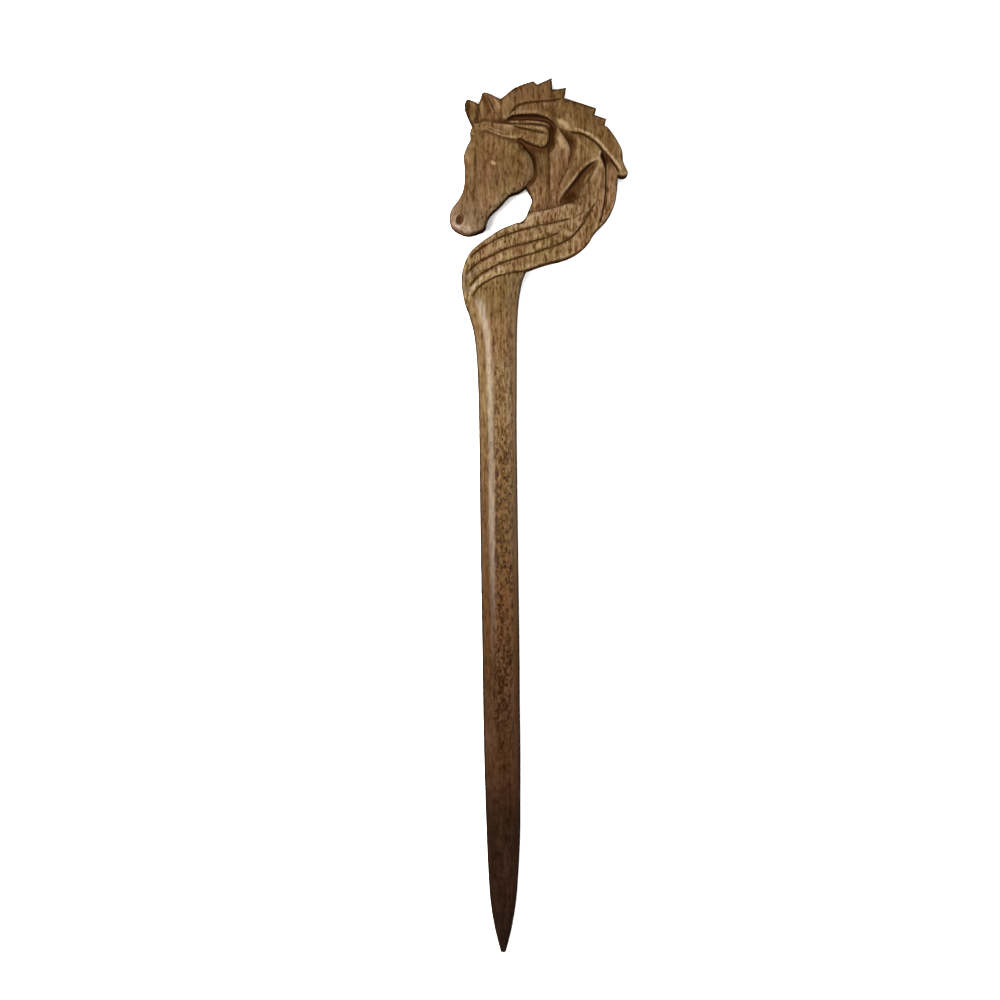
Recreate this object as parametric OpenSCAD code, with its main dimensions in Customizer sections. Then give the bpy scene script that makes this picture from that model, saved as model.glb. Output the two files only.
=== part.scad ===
// Hair stick carved from one piece of wood: a tapered shaft under a horse's head,
// whose mane sweeps down the neck and wraps across the top of the shaft.
// It lies face up on its flat back, with the point towards -Y and the muzzle towards -X.

/* [Overall] */
// Length from the point to the highest tip of the mane
stick_l = 190; // [160:1:220]
// Thickness at the highest lock of the mane
head_t = 8.5; // [7:0.1:10]

/* [Shaft] */
// Width of the shaft at half its length
shaft_w = 8.2; // [6.5:0.1:9]
// Thickness of the shaft at half its length
shaft_t = 7.2; // [5.5:0.1:8]

/* [Carving] */
// Thickness of the wood left at the floor of the deep pockets
floor_t = 3.8; // [3:0.1:4.5]
// Rounding of the edge round the flat back
edge_r = 0.7; // [0.3:0.1:1]
// Depth of an incised hair line
line_d = 0.6; // [0.3:0.1:0.9]
// Width of an incised hair line at the surface
line_w = 0.7; // [0.4:0.1:1]

/* [Hidden] */
wood = "sienna";
// The tables are drawn for a stick 190 long and 8.5 thick
drawn_l = 190;
drawn_t = 8.5;
plan_s = stick_l / drawn_l;
rise_s = head_t / drawn_t;
// Every carved lock starts this deep in the board
root_z = 2;
outline_parts = 3;
lock_parts = 2;
line_parts = 2;
arch_parts = 8;
round_fn = 20;

// Outline of the head and neck, from the brow clockwise. The origin of the tables is the shaft's point.
// Columns: sideways, along the stick, 1 where the corner is sharp
head_outline = [
    [-6.65, 179.6, 1], [-7.7, 181.75, 0], [-8.45, 183.9, 0], [-7.9, 185.55, 0], [-6.75, 185.25, 0],
    [-5.4, 184.4, 1], [-4.95, 185.55, 0], [-4.45, 187, 0], [-3.05, 186.75, 0], [-0.8, 185.55, 0],
    [-0.1, 185.75, 1], [2.35, 187.75, 0], [5.35, 188.9, 0], [6.5, 189.25, 1], [7.3, 188.5, 1],
    [8.65, 189.1, 0], [10.5, 190, 1], [10.65, 187.4, 1], [12.1, 187.5, 0], [13.65, 187.85, 1],
    [13.15, 185.45, 1], [16.7, 184.35, 0], [20.1, 183.2, 1], [19.65, 181.85, 1], [22.3, 181, 1],
    [21.9, 179.6, 1], [22.85, 178.85, 0], [24.4, 176.7, 0], [25.7, 174.25, 0], [25.95, 171.8, 0],
    [27, 169.5, 0], [26.45, 168.7, 0], [25.6, 168.6, 0], [24.8, 168.85, 1], [24.6, 165.3, 0],
    [24, 162.2, 0], [22.45, 159.3, 0], [19.9, 156.6, 0], [18.4, 154.25, 0], [16.1, 152.15, 0],
    [13, 150.65, 0], [9, 149.65, 0], [5.05, 148.3, 1], [2.4, 145.5, 1], [-5.2, 139.5, 1],
    [-7.6, 139.4, 1], [-8.6, 141.55, 0], [-9.05, 145.1, 0], [-8.85, 148.35, 0], [-7.5, 151.8, 0],
    [-5.4, 153.95, 0], [-3, 155.65, 0], [-0.2, 157.35, 0], [2.65, 158.5, 0], [4.6, 159.6, 0],
    [5.6, 161.9, 0], [6.3, 163.8, 0], [5.4, 165.45, 0], [4.9, 166.5, 1], [3.4, 165.5, 0],
    [1.3, 164.55, 0], [-0.6, 162.45, 0], [-2.85, 160.55, 0], [-3.65, 158.65, 0], [-4.2, 157.15, 0],
    [-6.1, 156.3, 0], [-7.8, 156, 0], [-9.85, 156.7, 0], [-11.35, 158, 0], [-11.7, 160.1, 0],
    [-11.1, 161.95, 0], [-9.3, 164.4, 0], [-8.45, 167.3, 0], [-8.45, 171, 0], [-8.65, 173.1, 0],
    [-7.95, 175.25, 0], [-7.2, 176.75, 0], [-7.25, 178.3, 0]
];

// Sections of the shaft, from under the wrap down to the point.
// Columns: along the stick, centre sideways, share of shaft_w, share of shaft_t, lift of the underside
shaft_sections = [
    [150.5, -1.6, 1.46, 0.9, 0], [148.2, -1.6, 1.59, 0.97, 0], [146, -2, 1.5, 1, 0],
    [142.2, -2.45, 1.44, 1.05, 0], [138.6, -2.15, 1.29, 1.05, 0], [134, -1.65, 1.13, 1.04, 0],
    [125.3, -1.3, 1.04, 1.03, 0], [113, -1.15, 1, 1.02, 0], [94, -0.93, 1, 1.01, 0],
    [67, -0.53, 0.99, 1, 0], [55, -0.4, 0.98, 0.98, 0], [44, -0.23, 0.97, 0.96, 0],
    [33, -0.08, 0.93, 0.94, 0], [27, 0.03, 0.89, 0.91, 0], [22.2, 0.03, 0.86, 0.87, 0],
    [16.8, 0.02, 0.79, 0.8, 0.05], [11.4, 0, 0.69, 0.7, 0.1], [5.9, 0, 0.48, 0.5, 0.3],
    [2.7, 0, 0.3, 0.34, 0.5], [1.1, 0, 0.2, 0.24, 0.65], [0, 0, 0.09, 0.12, 0.9]
];
section_sides = 20;
// How square the shaft's section is, 1 for an ellipse
section_power = 0.78;

// Carved locks. Columns: sideways, along the stick, half width, height of the crest
face = [
    [-1.6, 180.6, 5.7, 6.2], [-1, 177, 8, 7], [-1.2, 172.7, 9.8, 7.1], [-2, 168.8, 9.6, 6.9],
    [-4.2, 164.9, 7.4, 6.5], [-6.8, 161.6, 5.8, 6.2], [-7.9, 158.8, 5.2, 6.2],
    [-7.9, 156.6, 4.2, 5.6], [-7.9, 155.4, 2.4, 4.4]
];
ear_far = [[-6.2, 179.2, 2, 5], [-6.8, 181.6, 2, 5.6], [-7.4, 183.6, 1.8, 5.5], [-7.8, 185.9, 1.3, 4.8]];
ear_near = [[-1.8, 179.6, 2.4, 6.2], [-2.3, 182, 2.6, 6.8], [-3.1, 184.4, 2.4, 6.6], [-4.1, 187.3, 1.6, 5.4]];
mane_tuft_1 = [
    [-0.1, 181.4, 1.3, 6.4], [1, 184.7, 2, 7.4], [3.6, 186.8, 2.4, 7.6], [5.8, 188.3, 1.9, 6.8],
    [7.3, 190, 1.2, 5.6]
];
mane_tuft_2 = [
    [0.6, 181.2, 1.1, 6.6], [2.3, 184, 1.7, 7.6], [5.8, 186, 2.2, 8.1], [8.8, 187.7, 1.9, 7.4],
    [11, 190.5, 1.4, 5.8]
];
mane_tuft_3 = [
    [1.9, 182.3, 0.9, 6.8], [4.9, 184.2, 1.3, 7.6], [9, 185.7, 1.7, 8], [11.9, 186.6, 1.7, 7.2],
    [14.2, 188.2, 1.4, 5.8]
];
mane_tuft_4 = [
    [1.2, 181.9, 0.7, 6.4], [5.8, 183.1, 1.5, 7.9], [10.6, 183.3, 2.4, 8.3], [15.6, 183.4, 2.2, 7.8],
    [18.8, 183.2, 1.9, 6.8], [21, 183.5, 1.5, 5.8]
];
mane_tuft_5 = [
    [10.1, 182.3, 1.5, 7.4], [14.5, 182, 2.2, 8.1], [18.4, 181.4, 2, 7.6], [21, 181, 1.6, 6.6],
    [23, 181, 1.2, 5.8]
];
mane_sweep = [
    [12.5, 181, 1.2, 7.2], [15.5, 180.4, 2.2, 8.3], [19, 179.6, 2.8, 8.5], [21.9, 177.4, 3, 8.2],
    [24, 174, 2.5, 7.6], [25.2, 170.8, 2, 6.8], [26.6, 168.2, 1.6, 5.8]
];
forelock = [
    [-6.8, 178.6, 1.5, 6], [-4, 179.6, 1.3, 7], [-0.1, 179.4, 1.4, 7.5], [3.6, 178.3, 1.8, 7.7],
    [7.1, 177.2, 2.2, 7.8], [9.6, 176.2, 1.7, 7]
];
neck_front = [
    [7.5, 175.6, 2, 5.6], [8.4, 172.7, 3, 6.4], [8.6, 167.9, 3.3, 6.6], [8.8, 163.6, 3.8, 6.6],
    [9.7, 160.5, 3, 6.4]
];
neck_middle = [
    [19.2, 178.6, 1.2, 6.4], [16.8, 175.6, 3.4, 7.2], [14.6, 172, 4.3, 7.5], [13.2, 169, 3.2, 7.3],
    [11.9, 165.7, 2.2, 7], [10.8, 162.3, 2, 6.6]
];
neck_ridge = [[11, 181, 0.9, 7.2], [12.6, 180.3, 1.1, 7.6], [14.4, 179, 1, 7.6], [16, 177.6, 0.8, 7]];
neck_back = [
    [21.2, 172.8, 0.8, 7.2], [20.6, 170, 1.7, 7.6], [19.4, 166, 2.9, 7.8], [18.3, 162.5, 3.7, 7.7],
    [17, 159, 3.6, 7.6], [15.4, 156.6, 3, 7]
];
back_strand = [
    [22.5, 174.4, 0.9, 6.4], [23.4, 171, 1.9, 7], [23.4, 166.8, 2.2, 7], [22.7, 162.7, 2.3, 6.8],
    [21.2, 158.8, 2.1, 6.4]
];
wrap_strand_1 = [
    [18.7, 163, 1.2, 5.5], [12.7, 160.9, 2, 7.6], [8, 159.6, 2.2, 7.8], [3.2, 157.9, 2.2, 7.8],
    [-1.6, 155.7, 2.2, 7.6], [-5.5, 153.1, 2.2, 7.2], [-7.9, 150.1, 2.2, 6.6], [-8.9, 146.2, 1.8, 5.8],
    [-9, 142.5, 1.4, 5.4]
];
wrap_strand_2 = [
    [20.4, 161.8, 1.2, 5.5], [14, 157.9, 1.7, 8], [9.3, 156.8, 1.7, 8.1], [4, 155.5, 1.7, 8.1],
    [-0.7, 154, 1.7, 8], [-4.7, 152, 1.7, 7.8], [-7.3, 149.4, 1.7, 7], [-8.6, 145.7, 1.5, 6.2],
    [-8.9, 141.8, 1.2, 5.6]
];
wrap_strand_3 = [
    [21.6, 161.6, 1.2, 5.5], [16.7, 156.6, 2, 7.8], [11.4, 154.6, 1.7, 8], [6.2, 153.2, 1.7, 8],
    [1, 151.7, 1.7, 8], [-3.3, 149.9, 1.7, 7.8], [-6.6, 147.3, 1.7, 7.2], [-8.2, 143.6, 1.4, 6.4],
    [-8.7, 140.4, 1, 5.8]
];
wrap_strand_4 = [
    [22.4, 160, 1.4, 5.5], [18.4, 154.9, 2.6, 7.4], [13.6, 152.1, 2.6, 7.6], [8, 150.5, 2.3, 7.8],
    [2.3, 149.3, 1.9, 7.8], [-2, 148.2, 1.7, 7.8], [-5.5, 145.9, 1.5, 7.4], [-7.5, 142.5, 1.2, 6.8],
    [-8.2, 139.2, 0.8, 6]
];
LOCKS = [
    face, ear_far, ear_near, mane_tuft_1, mane_tuft_2, mane_tuft_3, mane_tuft_4, mane_tuft_5,
    mane_sweep, forelock, neck_front, neck_middle, neck_ridge, neck_back, back_strand,
    wrap_strand_1, wrap_strand_2, wrap_strand_3, wrap_strand_4
];

// Incised lines. Columns: sideways, along the stick, height of the wood there
crest_line = [
    [0.8, 181.1, 6.4], [1.9, 182.6, 7], [4.3, 184.3, 7.5], [7.1, 184.7, 7.9], [10.4, 184.9, 7.9],
    [13, 185.6, 6.8]
];
forelock_top = [[-5.5, 180.6, 5.6], [-2, 180.7, 6.4], [1, 180.4, 6.8]];
forelock_edge = [[-5.5, 178.2, 6.2], [-4.1, 178.9, 6.6], [0.1, 177.8, 7], [4, 176.3, 6.8]];
mane_edge = [[14.3, 178.6, 7.3], [17.7, 177.6, 7.7], [20.6, 175.6, 7.5], [23, 173.1, 7], [25.1, 169.6, 6.2]];
cheek_edge = [[4.5, 175.3, 6.6], [6.2, 173.1, 6.6], [7.3, 170.1, 6.4], [6.8, 167.7, 6], [5.1, 166.6, 5.4]];
neck_crease = [[9.7, 173.8, 6.6], [9.6, 168.3, 6.7], [9.9, 162.9, 6.6]];
back_crease = [[21.6, 173.6, 7], [22.2, 169.6, 7], [22, 164.2, 7], [21, 158.3, 6.8]];
wrap_line_1 = [
    [14.3, 159.3, 7.6], [9, 158.2, 7.7], [3.4, 156.8, 7.6], [-1.8, 154.8, 7.5], [-6.6, 151.6, 6.8]
];
wrap_line_2 = [
    [12.3, 156.5, 7.7], [7.5, 154.8, 7.8], [2.1, 153.4, 7.7], [-3.8, 150.8, 7.6], [-7.7, 147.8, 6.6]
];
wrap_line_3 = [
    [20, 162.7, 7.8], [18, 159.6, 7.7], [14.3, 155.1, 7.7], [8.6, 152.7, 7.7], [1.7, 150.5, 7.7],
    [-3.8, 148, 7.5], [-7.5, 144.8, 6.4]
];
wrap_edge = [
    [5.4, 148.2, 7.4], [0.6, 147.5, 7.4], [-3.1, 146.2, 7.4], [-5.7, 144.1, 7.2], [-7.5, 141.2, 6.4]
];
strand_split = [[14.6, 158.5, 7.7], [15.9, 160, 7.7], [18, 160.9, 7.6]];
LINES = [
    crest_line, forelock_top, forelock_edge, mane_edge, cheek_edge, neck_crease, back_crease,
    wrap_line_1, wrap_line_2, wrap_line_3, wrap_edge, strand_split
];

function on_curve(a, b, c, d, t) =
    ((3 * b - a - 3 * c + d) * t * t * t + (2 * a - 5 * b + 4 * c - d) * t * t + (c - a) * t + 2 * b) / 2;
function sharp(row) = row[2] == 1;

// Closed curve through the rows of an outline, which keeps the sharp corners
function closed_curve(rows, parts) = let (n = len(rows)) [
    for (i = [0:n - 1])
        let (
            b = rows[i],
            c = rows[(i + 1) % n],
            a = sharp(b) ? b : rows[(i + n - 1) % n],
            d = sharp(c) ? c : rows[(i + 2) % n],
            steps = sharp(b) && sharp(c) ? 1 : parts
        )
        for (j = [0:steps - 1])
            on_curve(a, b, c, d, j / steps)
];

// Curve through all columns of a table of stations, from the first to the last
function open_curve(rows, parts) = let (n = len(rows)) concat([
    for (i = [0:n - 2])
        for (j = [0:parts - 1])
            on_curve(rows[max(i - 1, 0)], rows[i], rows[i + 1], rows[min(i + 2, n - 1)], j / parts)
], [rows[n - 1]]);

// Unit vector to the right of the way from p to q
function right_of(p, q) = let (d = [q.x - p.x, q.y - p.y]) [d.y, -d.x] / norm(d);
function side(path, i) = right_of(path[max(i - 1, 0)], path[min(i + 1, len(path) - 1)]);

rim = [for (p = closed_curve(head_outline, outline_parts)) [p.x, p.y] * plan_s];
rim_n = len(rim);
shift = [-(min([for (p = rim) p.x]) + max([for (p = rim) p.x])) / 2, -max([for (p = rim) p.y]) / 2];

// A closed skin over rings of points that all have the same number of sides
module sweep(rings) {
    n = len(rings);
    m = len(rings[0]);
    start = [for (j = [0:m - 1]) m - 1 - j];
    finish = [for (j = [0:m - 1]) (n - 1) * m + j];
    walls = [
        for (i = [0:n - 2])
            for (j = [0:m - 1])
                let (k = (j + 1) % m)
                each [
                    [i * m + j, (i + 1) * m + k, (i + 1) * m + j],
                    [i * m + j, i * m + k, (i + 1) * m + k]
                ]
    ];
    polyhedron(points = [for (r = rings) each r], faces = concat([start], [finish], walls));
}

// The board before it is carved, with a rounded edge round its flat back
module board() {
    levels = [[0, edge_r], [edge_r * 0.3, edge_r * 0.3], [edge_r, 0], [head_t + 1, 0]];
    sweep([
        for (level = levels) [
            for (i = [0:rim_n - 1])
                let (q = right_of(rim[(i + rim_n - 1) % rim_n], rim[(i + 1) % rim_n]))
                [rim[i].x + q.x * level[1], rim[i].y + q.y * level[1], level[0]]
        ]
    ]);
}

// One lock of hair or one swelling of the flesh, arched across its width
module lock(rows) {
    path = open_curve(rows, lock_parts);
    sweep([
        for (i = [0:len(path) - 1])
            let (p = path[i], q = side(path, i) * p[2] * plan_s, crest = p[3] * rise_s - root_z)
            [
                for (j = [0:arch_parts])
                    let (turn = 180 * j / arch_parts)
                    [
                        p.x * plan_s + q.x * cos(turn),
                        p.y * plan_s + q.y * cos(turn),
                        root_z + crest * pow(sin(turn), 0.8)
                    ]
            ]
    ]);
}

// A cut of V section that follows a line down the surface
module incised(rows) {
    path = open_curve(rows, line_parts);
    spread = 3;
    sweep([
        for (i = [0:len(path) - 1])
            let (
                p = path[i],
                q = side(path, i) * line_w * spread / 2,
                low = p[2] * rise_s - line_d
            )
            [
                [p.x * plan_s - q.x, p.y * plan_s - q.y, low + line_d * spread],
                [p.x * plan_s, p.y * plan_s, low],
                [p.x * plan_s + q.x, p.y * plan_s + q.y, low + line_d * spread]
            ]
    ]);
}

// A round swelling, centred at a place on the head
module swelling(at, size) {
    translate([at.x * plan_s, at.y * plan_s, at.z * rise_s])
        hull()
            scale(size)
                sphere(r = 1, $fn = round_fn);
}

module features() {
    // Cheek, brow and the curled end of the forelock
    swelling([1.3, 171.4, 2.6], [7, 7, 5]);
    swelling([-5.4, 174, 3], [3, 4.6, 3.7]);
    swelling([7.7, 176.8, 4], [2.7, 2.3, 3.9]);
    // Muzzle, lips and chin
    swelling([-7.9, 159.6, 2.6], [4.4, 4, 4]);
    // Eyeball between its lids
    swelling([-2.7, 171.9, 6.9], [1.2, 0.7, 0.8]);
    // Curled end of the mane sweep
    swelling([25.7, 169.3, 4], [1.4, 1.3, 2.3]);
}

module hollows() {
    // Nostril
    translate([-9.4 * plan_s, 159.1 * plan_s, 6.2 * rise_s])
        rotate([0, 0, -25])
            hull()
                scale([0.7, 1.1, 1.6])
                    sphere(r = 1, $fn = round_fn / 2);
    // Cup of the near ear
    translate([-2.8 * plan_s, 184 * plan_s, 7.4 * rise_s])
        rotate([0, 0, 16])
            hull()
                scale([0.8, 2.6, 2])
                    sphere(r = 1, $fn = round_fn / 2);
}

module shaft() {
    sweep([
        for (s = shaft_sections) [
            for (j = [0:section_sides - 1])
                let (
                    turn = -360 * j / section_sides,
                    across = sign(cos(turn)) * pow(abs(cos(turn)), section_power),
                    up = sign(sin(turn)) * pow(abs(sin(turn)), section_power)
                )
                [
                    s[1] * plan_s + across * s[2] * shaft_w / 2,
                    s[0] * plan_s,
                    s[4] + (1 + up) * s[3] * shaft_t / 2
                ]
        ]
    ]);
}

// What the carver leaves of the board: the floor of the pockets and the locks that stand on it
module head() {
    intersection() {
        board();
        union() {
            translate([-stick_l / 4, stick_l / 2, -1])
                cube([stick_l / 2, stick_l / 2 + 1, floor_t + 1]);
            for (rows = LOCKS)
                lock(rows);
            features();
        }
    }
}

module hair_stick() {
    color(wood)
        translate([shift.x, shift.y, 0])
            difference() {
                union() {
                    head();
                    shaft();
                }
                for (rows = LINES)
                    incised(rows);
                hollows();
            }
}

hair_stick();
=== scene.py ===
"""Carved walnut hair stick: a tapered shaft under a horse's head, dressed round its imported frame.

The carving is laid out as its maker would draw it on the board, in millimetres from the
shaft's point: x sideways, y along the stick, z up from the flat back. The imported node's own
box places that drawing in the frame.
"""
import logging
import math
from dataclasses import dataclass, field
from enum import Enum
from typing import Any, Callable, Protocol, Sequence

import bpy
import numpy as np
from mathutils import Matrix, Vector


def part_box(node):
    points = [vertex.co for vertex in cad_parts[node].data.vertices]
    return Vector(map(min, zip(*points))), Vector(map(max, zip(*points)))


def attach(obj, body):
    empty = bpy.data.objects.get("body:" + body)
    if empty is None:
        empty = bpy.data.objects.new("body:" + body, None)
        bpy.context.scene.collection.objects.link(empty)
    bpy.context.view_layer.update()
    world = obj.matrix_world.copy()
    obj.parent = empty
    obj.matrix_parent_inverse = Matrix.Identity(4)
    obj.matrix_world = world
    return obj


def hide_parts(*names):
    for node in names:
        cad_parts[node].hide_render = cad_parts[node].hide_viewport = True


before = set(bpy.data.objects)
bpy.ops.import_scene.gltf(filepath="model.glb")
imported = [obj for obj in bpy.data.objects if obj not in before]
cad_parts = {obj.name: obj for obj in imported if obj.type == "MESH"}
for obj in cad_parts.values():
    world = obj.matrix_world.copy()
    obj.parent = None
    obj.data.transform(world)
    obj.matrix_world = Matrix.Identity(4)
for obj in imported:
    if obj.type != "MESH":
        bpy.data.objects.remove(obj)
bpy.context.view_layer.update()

NODE = "hair_stick"
MM = 0.001

Array = np.ndarray
Pair = tuple[float, float]
Triple = tuple[float, float, float]
Rows = Sequence[tuple[float, ...]]
TINY = 1e-12

log = logging.getLogger("hair_stick")


# curves and distances


def on_curve(a: Array, b: Array, c: Array, d: Array, t: float) -> Array:
    """The row t of the way from b to c, on a Catmull-Rom curve through four rows."""
    return ((3 * b - a - 3 * c + d) * t**3 + (2 * a - 5 * b + 4 * c - d) * t**2 + (c - a) * t + 2 * b) / 2


def closed_curve(rows: Rows, parts: int = 4) -> Array:
    """A closed border through marked points, straight only between two sharp corners.

    Args:
        rows: (x, y) rows, with a third value of 1 at a sharp corner.
        parts: Steps between two rows.

    Returns:
        The border's points, one row each.
    """
    spots = [np.array(row[:2], float) for row in rows]
    sharp = [len(row) > 2 and row[2] == 1 for row in rows]
    count = len(rows)
    points = []
    for i in range(count):
        j = (i + 1) % count
        before = spots[i] if sharp[i] else spots[i - 1]
        after = spots[j] if sharp[j] else spots[(i + 2) % count]
        steps = 1 if sharp[i] and sharp[j] else parts
        points += [on_curve(before, spots[i], spots[j], after, k / steps) for k in range(steps)]
    return np.array(points)


def open_curve(rows: Rows, parts: int = 6) -> Array:
    """A curve through all columns of a table, from its first row to its last.

    Args:
        rows: Rows of equal length.
        parts: Steps between two rows.

    Returns:
        The curve's rows.
    """
    spots = [np.array(row, float) for row in rows]
    last = len(spots) - 1
    points = [
        on_curve(spots[max(i - 1, 0)], spots[i], spots[i + 1], spots[min(i + 2, last)], k / parts)
        for i in range(last)
        for k in range(parts)
    ]
    return np.array(points + [spots[last]])


def from_stretch(x: Array, y: Array, start: Array, way: Array) -> tuple[Array, Array, Array]:
    """How far along a straight stretch each place's nearest point is, and the step from it."""
    t = np.clip(((x - start[0]) * way[0] + (y - start[1]) * way[1]) / max(way @ way, TINY), 0, 1)
    return t, x - start[0] - t * way[0], y - start[1] - t * way[1]


@dataclass
class Reading:
    """What places on the board read off a path.

    Attributes:
        distance: Distance to the path.
        side: The same distance, positive to the right of the way and negative to the left.
        along: 0 at the path's start, 1 at its end.
        columns: The path's further columns at its nearest point.
    """

    distance: Array
    side: Array
    along: Array
    columns: list[Array]


def read_path(x: Array, y: Array, path: Array) -> Reading:
    """Finds each place's nearest point on a path.

    Args:
        x: Places sideways.
        y: Places along the stick.
        path: Rows of the path, (x, y, further columns).

    Returns:
        The reading at every place.
    """
    best = np.full(x.shape, np.inf)
    side = np.zeros(x.shape)
    along = np.zeros(x.shape)
    columns = [np.zeros(x.shape) for _ in range(path.shape[1] - 2)]
    lengths = np.hypot(*(path[1:, :2] - path[:-1, :2]).T)
    starts = np.concatenate([[0.0], np.cumsum(lengths)])
    for i, (p, q) in enumerate(zip(path[:-1], path[1:])):
        way = q[:2] - p[:2]
        t, dx, dy = from_stretch(x, y, p, way)
        squared = dx * dx + dy * dy
        nearer = squared < best
        best[nearer] = squared[nearer]
        side[nearer] = np.sign(way[1] * dx - way[0] * dy)[nearer]
        along[nearer] = ((starts[i] + t * lengths[i]) / starts[-1])[nearer]
        for k, column in enumerate(columns):
            column[nearer] = (p[2 + k] + t * (q[2 + k] - p[2 + k]))[nearer]
    distance = np.sqrt(best)
    return Reading(distance, side * distance, along, columns)


def border_distance(x: Array, y: Array, border: Array) -> Array:
    """Signed distance to a closed border.

    Args:
        x: Places sideways.
        y: Places along the stick.
        border: The border's points, one row each.

    Returns:
        The distance, positive inside.
    """
    best = np.full(x.shape, np.inf)
    inside = np.zeros(x.shape, bool)
    for p, q in zip(border, np.roll(border, -1, axis=0)):
        way = q - p
        _, dx, dy = from_stretch(x, y, p, way)
        best = np.minimum(best, dx**2 + dy**2)
        if p[1] != q[1]:
            crosses = (p[1] > y) != (q[1] > y)
            inside ^= crosses & (x < p[0] + (y - p[1]) * way[0] / way[1])
    return np.where(inside, 1.0, -1.0) * np.sqrt(best)


def soft_max(a: Array, b: Array, blend: float) -> Array:
    """The higher of two surfaces, with a fillet as high as blend where they meet."""
    return np.maximum(a, b) + np.maximum(blend - np.abs(a - b), 0) ** 2 / (4 * blend)


def round_corner(a: Array, b: Array, radius: float) -> Array:
    """Distance to what two solids share, from the distances to each, with a rounded edge."""
    corner = np.sqrt(np.maximum(a + radius, 0) ** 2 + np.maximum(b + radius, 0) ** 2)
    return np.minimum(np.maximum(a, b), -radius) + corner


def ease(t: Array) -> Array:
    """Smooth step from 0 to 1."""
    t = np.clip(t, 0, 1)
    return t * t * (3 - 2 * t)


def step(values: Array, ends: Pair) -> Array:
    """Smooth step from 0 at the first of two values to 1 at the second."""
    return ease((values - ends[0]) / (ends[1] - ends[0]))


# the board and the carver's tools


@dataclass
class Relief:
    """Height of the carved surface over the head, on an even grid.

    Attributes:
        low: Lowest x and y of the grid.
        high: Highest x and y.
        step: Grid step.
        floor_z: Height of the floor of the deep pockets.
    """

    low: Pair = (-12.8, 132.0)
    high: Pair = (28.2, 191.2)
    step: float = 0.1
    floor_z: float = 3.8
    x: Array = field(init=False)
    y: Array = field(init=False)
    z: Array = field(init=False)

    def __post_init__(self) -> None:
        """Lays out the grid at the height of the pockets' floor."""
        columns = np.arange(self.low[0], self.high[0], self.step)
        rows = np.arange(self.low[1], self.high[1], self.step)
        self.x, self.y = np.meshgrid(columns, rows, indexing="ij")
        self.z = np.full(self.x.shape, self.floor_z)

    def window(self, points: Array, margin: float) -> tuple[slice, slice]:
        """The part of the grid round some points.

        Args:
            points: Rows that start with (x, y).
            margin: Room round them.

        Returns:
            Slices of the grid's two axes.
        """
        low = (points[:, :2].min(0) - margin - self.low) / self.step
        high = (points[:, :2].max(0) + margin - self.low) / self.step
        low = np.maximum(low.astype(int), 0)
        high = np.minimum(high.astype(int) + 1, self.x.shape)
        return slice(low[0], high[0]), slice(low[1], high[1])

    def raise_to(self, part: tuple[slice, slice], surface: Array, blend: float) -> None:
        """Lets a higher surface stand on the board."""
        self.z[part] = soft_max(self.z[part], surface, blend)

    def lower_to(self, part: tuple[slice, slice], surface: Array, blend: float) -> None:
        """Cuts the board down to a lower surface."""
        self.z[part] = -soft_max(-self.z[part], -surface, blend)

    def soften(self, values: Array, radius: float) -> Array:
        """Gaussian blur of a map on the grid.

        Args:
            values: The map.
            radius: Standard deviation, in millimetres.

        Returns:
            The blurred map.
        """
        reach = max(int(3 * radius / self.step), 1)
        weights = np.exp(-0.5 * (np.arange(-reach, reach + 1) * self.step / radius) ** 2)
        weights /= weights.sum()
        for axis in (0, 1):
            room = [(reach, reach) if k == axis else (0, 0) for k in (0, 1)]
            padded = np.pad(values, room, mode="edge")
            size = values.shape[axis]
            values = sum(w * padded.take(range(i, i + size), axis) for i, w in enumerate(weights))
        return values

    def sample(self, values: Array, x: Array, y: Array) -> Array:
        """Reads a map at free places.

        Args:
            values: The map.
            x: Places sideways.
            y: Places along the stick.

        Returns:
            The map's values there, held at the grid's edge beyond it.
        """
        short_of_last = 1.001
        u = np.clip((x - self.low[0]) / self.step, 0, values.shape[0] - short_of_last)
        v = np.clip((y - self.low[1]) / self.step, 0, values.shape[1] - short_of_last)
        i, j = u.astype(int), v.astype(int)
        u, v = u - i, v - j
        near = values[i, j] * (1 - u) + values[i + 1, j] * u
        far = values[i, j + 1] * (1 - u) + values[i + 1, j + 1] * u
        return near * (1 - v) + far * v


class Tool(Protocol):
    """Anything that works on the relief."""

    def work(self, relief: Relief) -> None:
        """Carves the relief."""


@dataclass(frozen=True)
class Mass:
    """A swelling region with its own border, such as the face or a broad lock.

    Attributes:
        border: (x, y) rows of its border, with a third value of 1 at a sharp corner.
        spots: (x, y, height) marks that its surface passes near.
        reach: How far in from the border the surface starts to round down.
        drop: How far it is down at the border.
        power: 2 for a round shoulder, nearer 1 for a bevel.
        fall: Steepness of the cut outside the border.
        blend: Fillet against what is there already.
        spread: How far a mark's height carries.
    """

    border: Rows
    spots: Rows
    reach: float = 1.2
    drop: float = 0.8
    power: float = 2.0
    fall: float = 3.0
    blend: float = 0.1
    spread: float = 2.0

    def work(self, relief: Relief) -> None:
        """Raises the region.

        Args:
            relief: The board, changed in place.
        """
        border = closed_curve(self.border)
        part = relief.window(border, margin=2.5)
        x, y = relief.x[part], relief.y[part]
        squared = np.array([(x - s[0]) ** 2 + (y - s[1]) ** 2 for s in self.spots])
        weights = np.exp(-(squared - squared.min(0)) / (2 * self.spread**2))
        heights = np.array([s[2] for s in self.spots])
        top = np.tensordot(heights, weights, 1) / weights.sum(0)
        depth = border_distance(x, y, border)
        shoulder = (1 - np.clip(depth / self.reach, 0, 1)) ** self.power
        surface = top - self.drop * shoulder + self.fall * np.minimum(depth, 0)
        relief.raise_to(part, surface, self.blend)


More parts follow.
